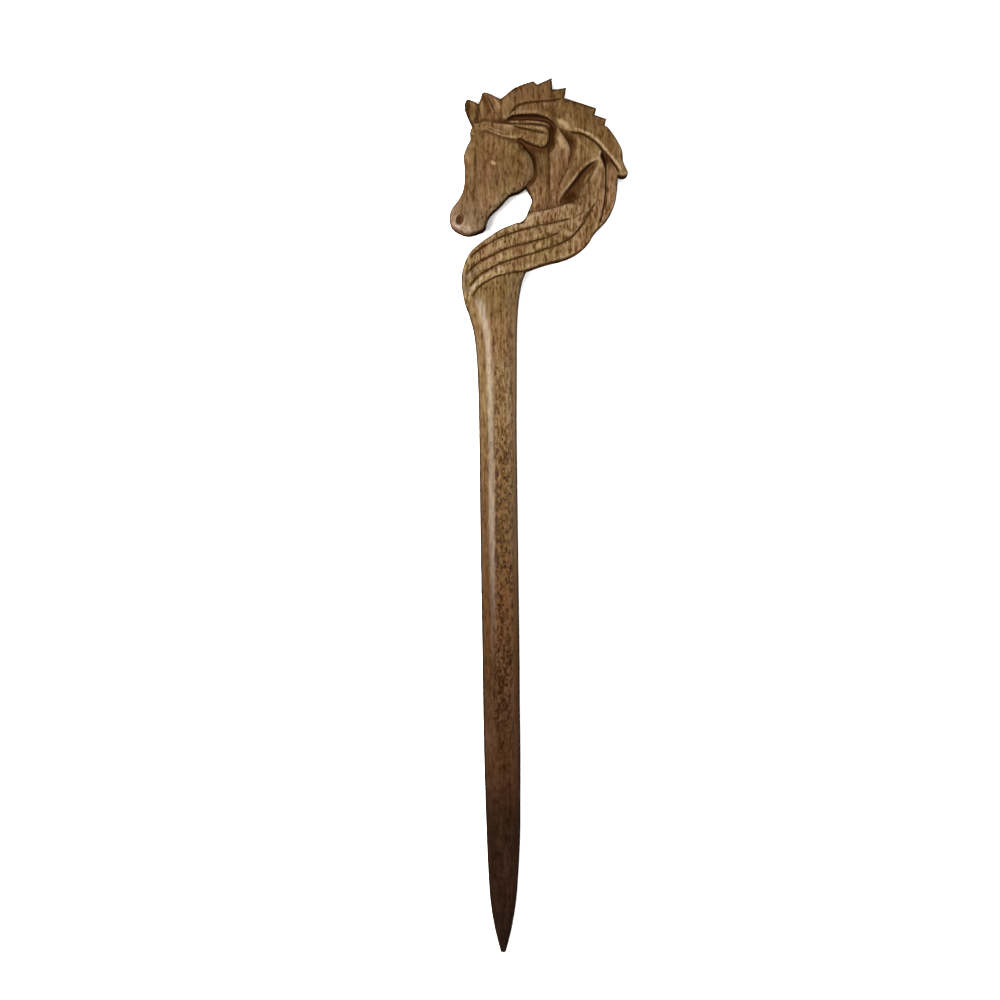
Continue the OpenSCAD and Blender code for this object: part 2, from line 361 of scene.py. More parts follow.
@dataclass(frozen=True)
class Lock:
    """A lock of hair or a ridge of flesh, arched across its width.

    Attributes:
        rows: (x, y, half width, crest height) rows along it.
        sink: How far the edges lie below the crest.
        power: Shape of the arch, 2 for round, more for flat.
        fall: Steepness of the cut outside the edges.
        blend: Fillet against what is there already.
    """

    rows: Rows
    sink: float = 0.8
    power: float = 2.2
    fall: float = 3.0
    blend: float = 0.15

    def work(self, relief: Relief) -> None:
        """Raises the lock.

        Args:
            relief: The board, changed in place.
        """
        path = open_curve(self.rows)
        part = relief.window(path, margin=path[:, 2].max() + 1.5)
        read = read_path(relief.x[part], relief.y[part], path)
        half, crest = read.columns
        arch = crest - self.sink * (read.distance / half) ** self.power
        surface = arch - self.fall * np.maximum(read.distance - half, 0)
        relief.raise_to(part, surface, self.blend)


@dataclass(frozen=True)
class Gouge:
    """A pocket cut along a path, with its own wall on each side.

    Attributes:
        rows: (x, y, floor height, half width of the floor) rows along it.
        left: Steepness of the wall to the left of the way.
        right: Steepness of the wall to the right.
        blend: Fillet at the walls' top and foot.
    """

    rows: Rows
    left: float = 4.0
    right: float = 4.0
    blend: float = 0.2

    def work(self, relief: Relief) -> None:
        """Cuts the pocket.

        Args:
            relief: The board, changed in place.
        """
        path = open_curve(self.rows)
        part = relief.window(path, margin=6.5)
        read = read_path(relief.x[part], relief.y[part], path)
        floor, half = read.columns
        wall = np.where(read.side > 0, self.right, self.left)
        rise = soft_max(wall * (read.distance - half), np.zeros(half.shape), self.blend)
        relief.lower_to(part, floor + rise, self.blend)


@dataclass(frozen=True)
class Swell:
    """A soft oval bump, or a dent where its rise is negative.

    Attributes:
        at: Centre, (x, y).
        radii: Half sizes across and along.
        rise: Height at the centre.
        turn: Turn of the oval, in degrees.
        power: 1 for a dome with a clear edge, 2 for one that runs out softly.
    """

    at: Pair
    radii: Pair
    rise: float
    turn: float = 0.0
    power: float = 2.0

    def work(self, relief: Relief) -> None:
        """Adds the bump.

        Args:
            relief: The board, changed in place.
        """
        part = relief.window(np.array([self.at]), margin=max(self.radii) + relief.step)
        dx, dy = relief.x[part] - self.at[0], relief.y[part] - self.at[1]
        c, s = math.cos(math.radians(self.turn)), math.sin(math.radians(self.turn))
        across, along = (c * dx + s * dy) / self.radii[0], (c * dy - s * dx) / self.radii[1]
        relief.z[part] += self.rise * np.maximum(1 - across**2 - along**2, 0) ** self.power


@dataclass(frozen=True)
class Crease:
    """A soft valley along a path, or a soft ridge where its depth is negative.

    Attributes:
        rows: (x, y, depth) rows along it.
        half: Half width of the valley.
        run_out: Share of the length over which it fades in at each end.
        start: How far that fade has come at the very end, 0 to 1.
    """

    rows: Rows
    half: float = 0.6
    run_out: float = 0.12
    start: float = 0.25

    def work(self, relief: Relief) -> None:
        """Presses the valley.

        Args:
            relief: The board, changed in place.
        """
        path = open_curve(self.rows, parts=5)
        part = relief.window(path, margin=3 * self.half)
        read = read_path(relief.x[part], relief.y[part], path)
        ends = ease(np.minimum(read.along, 1 - read.along) / self.run_out + self.start)
        relief.z[part] -= read.columns[0] * ends * np.exp(-((read.distance / self.half) ** 2))


@dataclass(frozen=True)
class HairLine:
    """A fine line cut with a knife.

    Attributes:
        rows: (x, y) rows along it.
        depth: Share of the full depth.
        width: Share of the full width.
    """

    rows: Rows
    depth: float = 1.0
    width: float = 1.0


class Carving(Protocol):
    """A carved part of the head."""

    def tools(self) -> list[Tool]:
        """The cuts that shape it, in order."""

    def hair_lines(self) -> list[HairLine]:
        """The fine lines cut into it."""


# the parts of the head

HEAD_OUTLINE: Rows = (
    (-6.65, 179.6, 1), (-7.7, 181.75), (-8.45, 183.9), (-7.9, 185.55), (-6.75, 185.25),
    (-5.4, 184.4, 1), (-4.95, 185.55), (-4.45, 187), (-3.05, 186.75), (-0.8, 185.55), (-0.1, 185.75, 1),
    (2.35, 187.75), (5.35, 188.9), (6.5, 189.25, 1), (7.3, 188.5, 1), (8.65, 189.1), (10.5, 190, 1),
    (10.65, 187.4, 1), (12.1, 187.5), (13.65, 187.85, 1), (13.15, 185.45, 1), (16.7, 184.35),
    (20.15, 183.3, 1), (19.65, 181.85, 1), (22.3, 181, 1), (21.9, 179.6, 1), (22.85, 178.85),
    (24.4, 176.7), (25.7, 174.25), (25.95, 171.8), (27, 169.5), (26.45, 168.7), (25.6, 168.6),
    (24.8, 168.85, 1), (24.6, 165.3), (24, 162.2), (22.45, 159.3), (19.9, 156.6), (18.4, 154.25),
    (16.1, 152.15), (13, 150.65), (9, 149.65), (5.05, 148.3, 1), (2.4, 145.5, 1), (-5.2, 139.5, 1),
    (-7.6, 139.4, 1), (-8.45, 141.6), (-9.05, 145.1), (-8.85, 148.35), (-7.5, 151.8), (-5.4, 153.95),
    (-3, 155.65), (-0.2, 157.35), (2.65, 158.5), (4.6, 159.6), (5.5, 161.65), (6.2, 163.8),
    (5.5, 165.45), (4.9, 166.5, 1), (3.45, 165.4), (1.3, 164.55), (-0.6, 162.45), (-2.75, 160.45),
    (-3.6, 158.7), (-3.75, 157.8), (-4.35, 157.05), (-5.2, 156.65), (-6.1, 156.3), (-7.8, 156),
    (-9.85, 156.7), (-11.35, 158), (-11.7, 160.1), (-11.1, 161.95), (-9.3, 164.4), (-8.45, 167.3),
    (-8.45, 171), (-8.65, 173.1), (-7.95, 175.25), (-7.2, 176.75), (-7.25, 178.3),
)


@dataclass
class Neck:
    """The neck: its front muscle, the flute beside it, and the wedge cut below the mane.

    Attributes:
        flute_floor: Height of the flute's floor under the mane.
        wedge_floor: Height of the floor at the deepest place of the wedge.
    """

    flute_floor: float = 6.1
    wedge_floor: float = 4.8

    def tools(self) -> list[Tool]:
        """The masses and the flute between them, the ridge to the mane, and the wedge."""
        flesh, muscle, petal = self.masses()
        back = Lock(sink=0.6, blend=0.5, rows=(
            (21.2, 173.6, 0.8, 7.4), (20.7, 170, 1.6, 7.6), (19.8, 166, 2.3, 7.8), (18.8, 162.5, 2.9, 7.8),
            (17.4, 159, 3.1, 7.6), (15.4, 156.6, 2.8, 7),
        ))
        return [flesh, self.flute(), muscle, petal, back, *self.wedge()]

    def masses(self) -> tuple[Mass, ...]:
        """The flesh, the muscle down its front and the flat behind the flute."""
        flesh = Mass(reach=1.0, drop=0.5, spread=1.5, border=(
            (3.6, 176.2), (9.7, 181), (11.9, 181.4), (14.3, 179.2), (17.7, 178.4), (21.5, 176.6), (23, 174),
            (22.6, 169), (22.3, 162.5), (21, 156.5), (12.3, 155.5), (3.4, 156.4), (5.9, 161.8),
            (6.2, 163.8), (5.5, 165.5), (5, 166.5), (6.2, 167.7), (6.4, 170.1), (5.4, 173.1),
        ), spots=(
            (5, 165, 5.4), (7.6, 171, 5.5), (7, 174, 5.3), (8.4, 167, 5.9), (8, 162, 6.1), (9, 172, 5.9),
            (9.2, 166, 6.1), (10.5, 161, 6.3), (11, 176, 6), (12, 170, 6.5), (14.5, 174.5, 6.8),
            (15.5, 169.5, 7.1), (17.5, 176, 7.1), (20, 174, 7.2), (12.6, 165, 6.7), (16, 172.5, 7.2),
            (19, 165, 7.4), (17, 160, 7.3),
        ))
        muscle = Mass(reach=0.9, drop=0.4, fall=2.5, blend=0.2, spread=1.2, border=(
            (11.4, 179.4), (12.5, 178.1), (13.6, 176.6), (14.4, 174.9), (14.5, 173.3), (13.8, 171.6),
            (12.7, 169.6), (11.8, 167.5), (11.2, 165.3), (10.9, 163.1), (10, 162.9), (9.8, 165.3),
            (9.7, 167.9), (9.8, 171.2), (10, 173.6), (10.8, 174.3), (11.3, 175.3), (11.4, 177.3),
        ), spots=(
            (12.7, 175.5, 7.4), (12.3, 172.3, 7.1), (13.2, 174, 7.3), (11.2, 167.9, 6.8), (10.6, 164, 6.4),
            (10.4, 172.3, 6.4), (10.4, 167.9, 6.4), (11.9, 177.9, 7.1), (11.7, 170.1, 6.9),
        ))
        petal = Mass(reach=0.9, drop=0.35, fall=0.8, blend=0.3, spread=1.3, border=(
            (15.4, 172.7), (16.2, 174.9), (19.3, 175.3), (21, 172.7), (20.8, 170.5), (19.3, 168.8),
            (17.5, 166.6), (15.4, 164.4), (13.6, 163.1), (11.7, 163.3), (11.9, 165.7), (12.5, 167.8),
            (13.6, 169.9), (14.7, 171.5),
        ), spots=(
            (16.7, 169.9, 7.5), (14, 166.6, 7.3), (14.9, 169.6, 7.2), (13.2, 166.8, 7), (17.7, 172.7, 7.3),
            (12.3, 164.4, 6.9), (18.8, 173.3, 7.2),
        ))
        return flesh, muscle, petal

    def flute(self) -> Gouge:
        """The flute between the front muscle and the flat."""
        flute = self.flute_floor
        return Gouge(left=0.75, right=1.0, blend=0.25, rows=(
            (11.7, 180.2, flute + 0.2, 0.35), (13, 178.9, flute, 0.5), (14, 177.3, flute, 0.55),
            (14.8, 175.3, flute + 0.1, 0.5), (15, 173.3, flute + 0.25, 0.35),
            (14.5, 171.6, flute + 0.4, 0.2), (13.4, 169.6, flute + 0.45, 0.1),
            (12.3, 167.3, flute + 0.45, 0.05), (11.7, 164.9, flute + 0.5, 0.05),
        ))

    def wedge(self) -> list[Tool]:
        """The wedge, its rim and rib, and the recess at its top."""
        wedge = self.wedge_floor
        cut = Gouge(left=1.1, right=3.2, blend=0.4, rows=(
            (20.6, 172.2, 7.2, 0.05), (19.8, 171.6, 6.3, 0.1), (18.8, 170.7, 5.8, 0.2),
            (17.7, 169.3, wedge + 0.6, 0.35), (16.5, 167.5, wedge + 0.4, 0.5),
            (15.2, 165.7, wedge + 0.6, 0.65), (14.2, 164.3, 5.7, 0.8), (13.5, 163.3, 6.3, 1),
        ))
        rim = Crease(half=0.3, rows=(
            (12.7, 164.8, -0.06), (14.3, 166.7, -0.2), (15.8, 168.8, -0.26), (17.7, 171, -0.2),
            (19.4, 172.2, -0.06),
        ))
        rib = Crease(half=0.28, rows=(
            (20.3, 170.6, -0.16), (19.3, 168.7, -0.28), (18, 166.6, -0.24), (17.1, 165.2, -0.1),
        ))
        valley = Crease(half=0.5, rows=(
            (20.7, 169.6, 0.1), (19.9, 167.7, 0.24), (18.8, 165.8, 0.2), (18, 164.4, 0.08),
        ))
        recess = Gouge(left=2.0, right=3.0, rows=(
            (21.5, 174.2, 6.7, 0.05), (21.8, 173.2, 5.5, 0.25), (22.1, 172.1, 5.7, 0.22),
            (22.1, 170.7, 6.6, 0.08),
        ))
        return [cut, rim, rib, valley, recess]

    def hair_lines(self) -> list[HairLine]:
        """Two creases down the front of the neck and the edge of the flat behind the flute."""
        return [
            HairLine(depth=0.9, width=1.3, rows=(
                (9.8, 174), (9.9, 171.2), (9.9, 167.9), (10, 165.3), (10.2, 162.9),
            )),
            HairLine(((8.8, 173.4), (8.8, 170), (8.9, 166.8)), depth=0.4, width=0.9),
            HairLine(((14.6, 171.3), (13.5, 169.6), (12.4, 167.5), (11.8, 165.2)), depth=0.8),
        ]


@dataclass
class Strands:
    """The tail of the mane: the strand down the back of the neck and the four that wrap the shaft."""

    def tools(self) -> list[Tool]:
        """The back strand, the wrap's body, the nook at its left end and its soft valleys."""
        nook = Swell((-6.2, 142.9), (1.5, 1), rise=-1.1, turn=40)
        return [self.back(), self.body(), nook, *(Crease(rows, half=0.55) for rows in self.valleys())]

    def back(self) -> Mass:
        """The strand down the back of the neck."""
        return Mass(reach=1.1, drop=0.7, border=(
            (21.8, 173.6), (22.1, 171.6), (22.2, 167.9), (22, 164), (21.4, 160.7), (20.4, 156.9),
            (22.7, 157.9), (25.8, 161.8), (26.2, 165.7), (26.2, 168.8), (24.5, 171.6), (22.9, 173.2),
        ), spots=(
            (22.8, 173, 6.5), (23.6, 170, 6.9), (23.9, 166.5, 7), (23.2, 162.5, 7), (22, 159.5, 6.9),
        ))

    def body(self) -> Mass:
        """The body of the wrap."""
        return Mass(reach=1.3, drop=0.75, power=2.4, fall=4.0, blend=0.3, border=(
            (4, 158.4), (5.2, 160.1), (6.2, 160.8), (8.6, 161.3), (10.8, 161.8), (12.3, 162.3),
            (14.5, 162.9), (17.5, 162.9), (21, 162.3), (24.6, 161), (23.2, 158.8), (20.6, 156.2),
            (18.8, 153.8), (16.4, 151.5), (13, 149.9), (9, 149), (5.3, 148.35), (2.7, 148.2), (0.6, 147.7),
            (-1.5, 147.2), (-3.1, 146.4), (-4.7, 145.4), (-5.9, 144.15), (-6.65, 143), (-7.3, 141.7),
            (-8, 140.6), (-9.2, 142.7), (-9.5, 145.1), (-9.5, 148.6), (-8, 152.3), (-5.9, 154.6),
            (-3.5, 156.3), (-0.5, 158), (2.2, 159.2),
        ), spots=(
            (20, 160, 7.3), (15, 160, 7.6), (10, 158.5, 7.9), (10, 155, 8), (5, 155, 8), (0, 152.5, 7.9),
            (-4, 150, 7.6), (-6.3, 146.8, 7), (-7.4, 143.5, 6.3), (14, 153.5, 7.7), (8, 151.5, 7.9),
            (2, 149.3, 7.9), (-4, 147.3, 7.5), (-5, 152.6, 7.1), (2, 157.2, 7.6), (8, 160, 7.5),
            (18, 156, 7.3),
        ))

    def valleys(self) -> list[Rows]:
        """The three long valleys between the wrap's strands, as (x, y, depth) rows."""
        return [(
            (15, 159.6, 0.1), (12.3, 158.9, 0.2), (9.5, 158.3, 0.25), (7, 157.8, 0.28), (3.4, 156.8, 0.28),
            (0.1, 155.7, 0.28), (-2.7, 154.3, 0.28), (-5.4, 152.6, 0.25), (-7.2, 151, 0.2),
        ), (
            (12.6, 156.7, 0.1), (10, 155.5, 0.25), (7.5, 154.8, 0.28), (5.1, 154.1, 0.28),
            (2.7, 153.6, 0.28), (0.3, 152.8, 0.28), (-1.9, 151.8, 0.28), (-3.9, 150.8, 0.28),
            (-5.7, 149.7, 0.28), (-7.9, 147.6, 0.25),
        ), (
            (20.2, 163.3, 0.1), (19.3, 161.8, 0.25), (18.4, 160.4, 0.3), (17.6, 158.9, 0.3),
            (16, 156.7, 0.28), (14.3, 155.1, 0.28), (11.4, 153.6, 0.28), (8.6, 152.7, 0.28),
            (6.1, 151.8, 0.28), (3.6, 151.1, 0.28), (1.7, 150.5, 0.28), (-0.3, 149.9, 0.28),
            (-2.2, 149, 0.3), (-3.9, 148, 0.3), (-5.4, 147, 0.35), (-7.6, 144.6, 0.35),
        )]

    def hair_lines(self) -> list[HairLine]:
        """A knife line in each valley, along the wrap's edges and where strands split."""
        valleys = [HairLine(tuple(row[:2] for row in rows), 1.2, 1.15) for rows in self.valleys()]
        return valleys + [
            HairLine(depth=1.2, width=1.35, rows=(
                (5.5, 148.2), (3.6, 148), (1.9, 147.8), (0.4, 147.45), (-1.4, 147), (-3, 146.2),
                (-4.6, 145.2), (-5.8, 144), (-6.4, 143), (-7, 141.9),
            )),
            HairLine(depth=0.4, width=0.9, rows=(
                (4.9, 159.9), (6.2, 160.7), (8.6, 161.3), (10.8, 161.8), (12.3, 162.3), (14, 163),
            )),
            HairLine(depth=1.6, width=1.1, rows=(
                (21.5, 174), (22, 171.6), (22.2, 169), (22.2, 166.6), (22, 164), (21.7, 161.8),
                (21.2, 159.6), (20.9, 157.9),
            )),
            HairLine(depth=0.7, width=0.9, rows=(
                (14.6, 158.5), (15.1, 159.3), (15.9, 160), (16.9, 160.6), (18.1, 161),
            )),
            HairLine(((11.8, 156.4), (12.4, 156.8), (13.2, 157.1)), depth=0.6, width=0.8),
            HairLine(((-3.1, 152.7), (-4.7, 151.7), (-6.2, 150.4)), depth=0.4, width=0.8),
        ]


@dataclass
class Face:
    """Forehead, cheek, nose, muzzle, nostril and eye."""

    def tools(self) -> list[Tool]:
        """The flesh and the features on it."""
        nose = Crease(half=0.4, rows=(
            (-6.3, 177.9, -0.08), (-6.3, 175.5, -0.1), (-6.3, 171.2, -0.1), (-6.4, 167.3, -0.08),
            (-6.9, 164.4, -0.04),
        ))
        side = Crease(half=0.4, rows=(
            (-5.6, 177, 0.06), (-5.6, 174.4, 0.1), (-5.6, 170.1, 0.14), (-5.8, 166.6, 0.1),
            (-6.4, 164.2, 0.04),
        ))
        brow = Crease(((-4.4, 173.2, -0.08), (-2.8, 173.9, -0.12), (-0.6, 173.6, -0.06)))
        socket = Swell((-2.7, 171.9), (1.9, 1.2), rise=-0.14, turn=-12)
        ball = Swell((-2.7, 171.9), (1.1, 0.58), rise=0.26, turn=-12, power=1.0)
        jaw = Crease(((-3.6, 163.2, 0.08), (-1.2, 165.2, 0.12), (1, 166.6, 0.08)), half=0.8)
        pit = Swell((-9.45, 159.1), (0.8, 1.2), rise=-1.2, turn=-24, power=0.8)
        rim = Swell((-9.6, 158.95), (1.5, 1.8), rise=0.22, turn=-24, power=1.2)
        throat = Crease(rows=(
            (4.2, 175.5, 0.15), (5.6, 174.1, 0.4), (6.7, 172.6, 0.35), (7.1, 171, 0.15),
        ))
        chin = Swell((-5.2, 158.2), (1.6, 1.5), rise=0.15)
        return [self.flesh(), throat, nose, side, brow, socket, ball, jaw, rim, pit, chin]

    def flesh(self) -> Mass:
        """The face's one broad surface."""
        return Mass(reach=2.0, drop=1.3, fall=2.6, border=(
            (-7.2, 178.6), (-5.5, 179.4), (-3.8, 179.8), (-1, 179.6), (1.6, 178), (3.8, 176.2),
            (4.9, 174.8), (5.9, 173.3), (6.4, 171.6), (6.7, 169.6), (6.2, 168.2), (5.1, 166.9),
            (4.8, 166.1, 1), (3.3, 165.5), (1.2, 164.5), (-0.6, 162.4), (-2.8, 160.4), (-3.5, 158.7),
            (-4.2, 157.1), (-6.2, 156.2), (-7.8, 155.9), (-9.9, 156.5), (-11.5, 157.9), (-11.9, 160.1),
            (-11.2, 162.1), (-9.6, 164.6), (-8.7, 167.3), (-8.7, 171), (-8.8, 173.1), (-8.2, 175.2),
            (-7.3, 176.9),
        ), spots=(
            (-5.5, 176.5, 6.5), (-2, 176.6, 6.7), (2, 175, 7), (-5.6, 173, 6.7), (-2, 172, 6.9),
            (1.5, 171.3, 7.6), (4.6, 170.5, 7.4), (3.2, 168, 7.2), (0, 168, 7.1), (-5.5, 169, 6.7),
            (-2.5, 166, 6.8), (-5.5, 165, 6.5), (-5.5, 162, 6.3), (-7.4, 160.4, 6.4), (-9, 159.2, 6.4),
            (-7, 158, 6.1), (-3, 163, 6.5),
        ))

    def hair_lines(self) -> list[HairLine]:
        """The cheek's edge, the upper lid, the mouth's corner and the nostril's rim."""
        return [
            HairLine(width=1.7, rows=(
                (4.2, 175.8), (5.2, 174.6), (6.3, 173.2), (6.9, 171.6), (7.2, 169.6), (6.8, 168),
                (5.6, 166.7),
            )),
            HairLine(((-3.9, 171.9), (-3.2, 172.5), (-2.4, 172.6), (-1.6, 172)), depth=0.3, width=0.6),
            HairLine(((-5.2, 161.6), (-4.6, 160.6), (-4.3, 159.4), (-4.4, 158.2)), depth=0.4, width=0.7),
            HairLine(((-6.2, 161.1), (-5.8, 160.1), (-5.7, 159)), depth=0.25, width=0.6),
            HairLine(depth=1.1, width=0.75, rows=(
                (-9.9, 158.3), (-10.2, 159), (-9.95, 159.8), (-9.4, 160.35), (-8.9, 160.35), (-8.6, 159.8),
                (-8.65, 159.1),
            )),
        ]


@dataclass
class Ears:
    """The two ears and the poll between them."""

    def tools(self) -> list[Tool]:
        """The poll, both ears and their hollows."""
        poll = Mass(reach=0.7, drop=0.3, border=(
            (-7.3, 179), (-7.2, 181), (-5.6, 184.6), (-4, 185.6), (-0.4, 186), (1, 181.6), (-0.1, 179.6),
            (-2, 179.5), (-4, 179.7), (-5.5, 179.3),
        ), spots=(
            (-6.4, 180.5, 5.4), (-5.2, 183, 5.4), (-3, 181, 5.9), (-0.4, 183, 6.2), (0, 181, 6.1),
        ))
        far = Mass(reach=1.1, drop=0.7, blend=0.3, border=(
            (-7.1, 178.8), (-7.9, 181.6), (-8.6, 183.7), (-8.1, 185.5), (-6.7, 185.4), (-5.3, 184.6),
            (-5.3, 182.6), (-5.9, 180.5), (-6.5, 179.4),
        ), spots=(
            (-7.4, 184, 5.9), (-7, 182, 6.1), (-6.6, 180.3, 5.9),
        ))
        near = Mass(reach=0.8, drop=0.5, blend=0.25, border=(
            (-5, 179.6), (-5.1, 182.4), (-5.2, 185), (-4.4, 187.1), (-3, 187), (-1.9, 186.3), (-0.8, 185.8),
            (-0.3, 184.6), (-0.5, 182.4), (-1, 179.8),
        ), spots=(
            (-3.9, 186.2, 6.1), (-3.9, 183.5, 6.5), (-3.6, 181, 6.4), (-1.4, 184.6, 6.7), (-1.4, 182, 6.6),
        ))
        cup = Gouge(left=0.7, blend=0.12, rows=(
            (-3.3, 186, 6.2, 0.03), (-2.8, 185, 5.9, 0.06), (-2.3, 183.9, 5.75, 0.08),
            (-1.8, 182.9, 5.9, 0.08), (-1.4, 182, 6.3, 0.05),
        ))
        pit = Swell((-0.95, 183.7), (0.4, 0.5), rise=-0.35, turn=-20)
        shell = Swell((-7.55, 183.9), (0.6, 1.4), rise=-0.45, turn=-8)
        return [poll, far, near, cup, pit, shell]

    def hair_lines(self) -> list[HairLine]:
        """The line down the cup of the near ear, and the edge between the ears."""
        return [
            HairLine(((-3.3, 186), (-2.8, 185), (-2.3, 183.9), (-1.8, 182.9)), depth=0.6, width=0.9),
            HairLine(((-5.4, 184.2), (-5.3, 183), (-5.5, 181.8)), depth=0.5, width=0.8),
        ]


@dataclass
class Mane:
    """The crest: pointed tufts, the long lock that sweeps over the neck, and its curled end."""

    def tools(self) -> list[Tool]:
        """The tufts, the long lock and the soft marks between the points."""
        marks = (
            ((11, 181.7, 0.06), (13.6, 182.2, 0.12), (16.7, 182.3, 0.12), (20.4, 182, 0.2)),
            ((7.2, 188.6, 0.2), (5.8, 187.7, 0.16), (4, 186.4, 0.12), (2.3, 184.8, 0.08)),
            ((11, 187.4, 0.25), (8.6, 186.9, 0.16), (6.2, 185.9, 0.08)),
            ((22.2, 179.9, 0.25), (19.6, 180.4, 0.14), (16.6, 180.5, 0.06)),
        )
        return [self.tufts(), *self.long_lock(), *(Crease(rows, half=0.45) for rows in marks)]

    def tufts(self) -> Mass:
        """The crest with its pointed tufts."""
        return Mass(reach=0.8, drop=0.4, spread=1.4, border=(
            (-0.7, 181.4), (-0.6, 184.7), (-0.3, 186), (0.8, 187.2), (2.2, 188.2), (5.2, 189.4),
            (6.5, 189.8, 1), (7.3, 189.1, 1), (8.5, 189.6), (10.7, 190.6, 1), (11.2, 188, 1), (12.1, 188),
            (14.2, 188.3, 1), (13.5, 185.4, 1), (11.9, 185), (10.3, 184.7), (7.1, 184.5), (4.3, 184.2),
            (2.8, 183.5), (1.7, 182.2), (0.8, 180.9),
        ), spots=(
            (0.6, 183.4, 6.7), (1.5, 185.6, 7.1), (4.2, 187, 7.5), (6.4, 188.3, 7.3), (8, 186.8, 7.8),
            (10, 188.6, 7.3), (10.4, 186, 7.9), (12.6, 187, 7.4), (5.6, 185.3, 7.8), (12.4, 185.8, 7.8),
        ))

    def long_lock(self) -> list[Tool]:
        """The long lock with its facet, rolled edge, curled end and upper lip."""
        lock = Mass(reach=1.0, drop=0.5, power=2.3, fall=4.0, spread=1.7, border=(
            (0.8, 181.5, 1), (1.7, 182.4), (2.8, 183.6), (4.3, 184.3), (6.3, 184.6), (10.3, 184.9),
            (11.9, 185.1), (13.3, 186), (15.6, 185.5), (18.2, 184.6), (20.8, 183.9, 1), (20.2, 182.3, 1),
            (23, 181.3, 1), (22.4, 180, 1), (23.4, 179.4), (24.9, 177), (26.1, 174.3), (26.5, 171.9),
            (27.4, 169.5), (26.8, 168), (25.6, 167.6), (24.9, 168.4, 1), (24.9, 169.6), (23.9, 171.6),
            (22.9, 172.9), (21.6, 174.3), (20.6, 175.5), (19.4, 176.5), (17.7, 177.5), (15.3, 178.3),
            (14, 178.7), (12.7, 179.3), (11.4, 180.4), (9.8, 181.3), (5.6, 181.9), (1.9, 181.9),
        ), spots=(
            (1.6, 182, 7.1), (3.5, 183, 7.6), (7, 183.2, 8.1), (11, 183.2, 8.3), (15, 182.6, 8.4),
            (15, 180, 8.2), (19, 181.5, 8.2), (19, 178.6, 8.4), (22, 178, 8.3), (22, 175.5, 8.1),
            (24, 175, 7.8), (24.4, 172.4, 7.6), (25.6, 170, 7.2), (25.9, 168.8, 7.1), (12.5, 181.4, 8),
            (20.5, 182.6, 7.7), (22, 180.8, 7.6),
        ))
        facet = Gouge(left=0.8, right=6.0, blend=0.12, rows=(
            (10.9, 181.2, 6.9, 0.1), (11.8, 180.3, 6.6, 0.1), (13, 179.1, 6.6, 0.1), (14.7, 178.2, 7, 0.1),
        ))
        roll = Crease(half=0.3, rows=(
            (14.7, 178.9, -0.2), (16, 178.6, -0.26), (17.7, 178, -0.26), (19.4, 177, -0.26),
            (20.8, 175.8, -0.26), (22, 174.5, -0.26), (23.2, 173.1, -0.26), (24.3, 171.6, -0.26),
            (25.1, 170.3, -0.22), (25.9, 169.5, -0.14),
        ))
        curl = Swell((25.9, 169), (1.3, 1.2), rise=0.25)
        lip = Crease(half=0.26, rows=(
            (2.4, 182.05, -0.1), (4.5, 182.1, -0.2), (7, 182.05, -0.2), (9.4, 181.8, -0.15),
        ))
        return [lock, facet, roll, curl, lip]

    def hair_lines(self) -> list[HairLine]:
        """The crest line, the lower edge of the long lock and the marks between tufts."""
        return [
            HairLine(depth=1.2, width=1.1, rows=(
                (0.8, 181.1), (1.7, 182.4), (2.8, 183.7), (4.3, 184.3), (6.3, 184.6), (10.3, 184.9),
                (11.9, 185.2), (13.1, 185.6),
            )),
            HairLine(depth=1.2, width=1.2, rows=(
                (13.9, 178.4), (15.3, 178), (16.7, 177.7), (17.7, 177.3), (19.4, 176.3), (20.6, 175.3),
                (21.6, 174.1), (22.9, 172.7), (23.9, 171.4), (24.7, 170.1), (24.9, 169),
            )),
            HairLine(((12.3, 181.9), (13.6, 182.2), (16.7, 182.3), (19.9, 182)), depth=0.2, width=0.6),
            HairLine(((7.3, 188.6), (5.8, 187.7), (4, 186.5), (2.5, 185.1)), depth=0.3, width=0.7),
            HairLine(((10.9, 187.5), (8.6, 187), (6.7, 186.3)), depth=0.35, width=0.7),
        ]


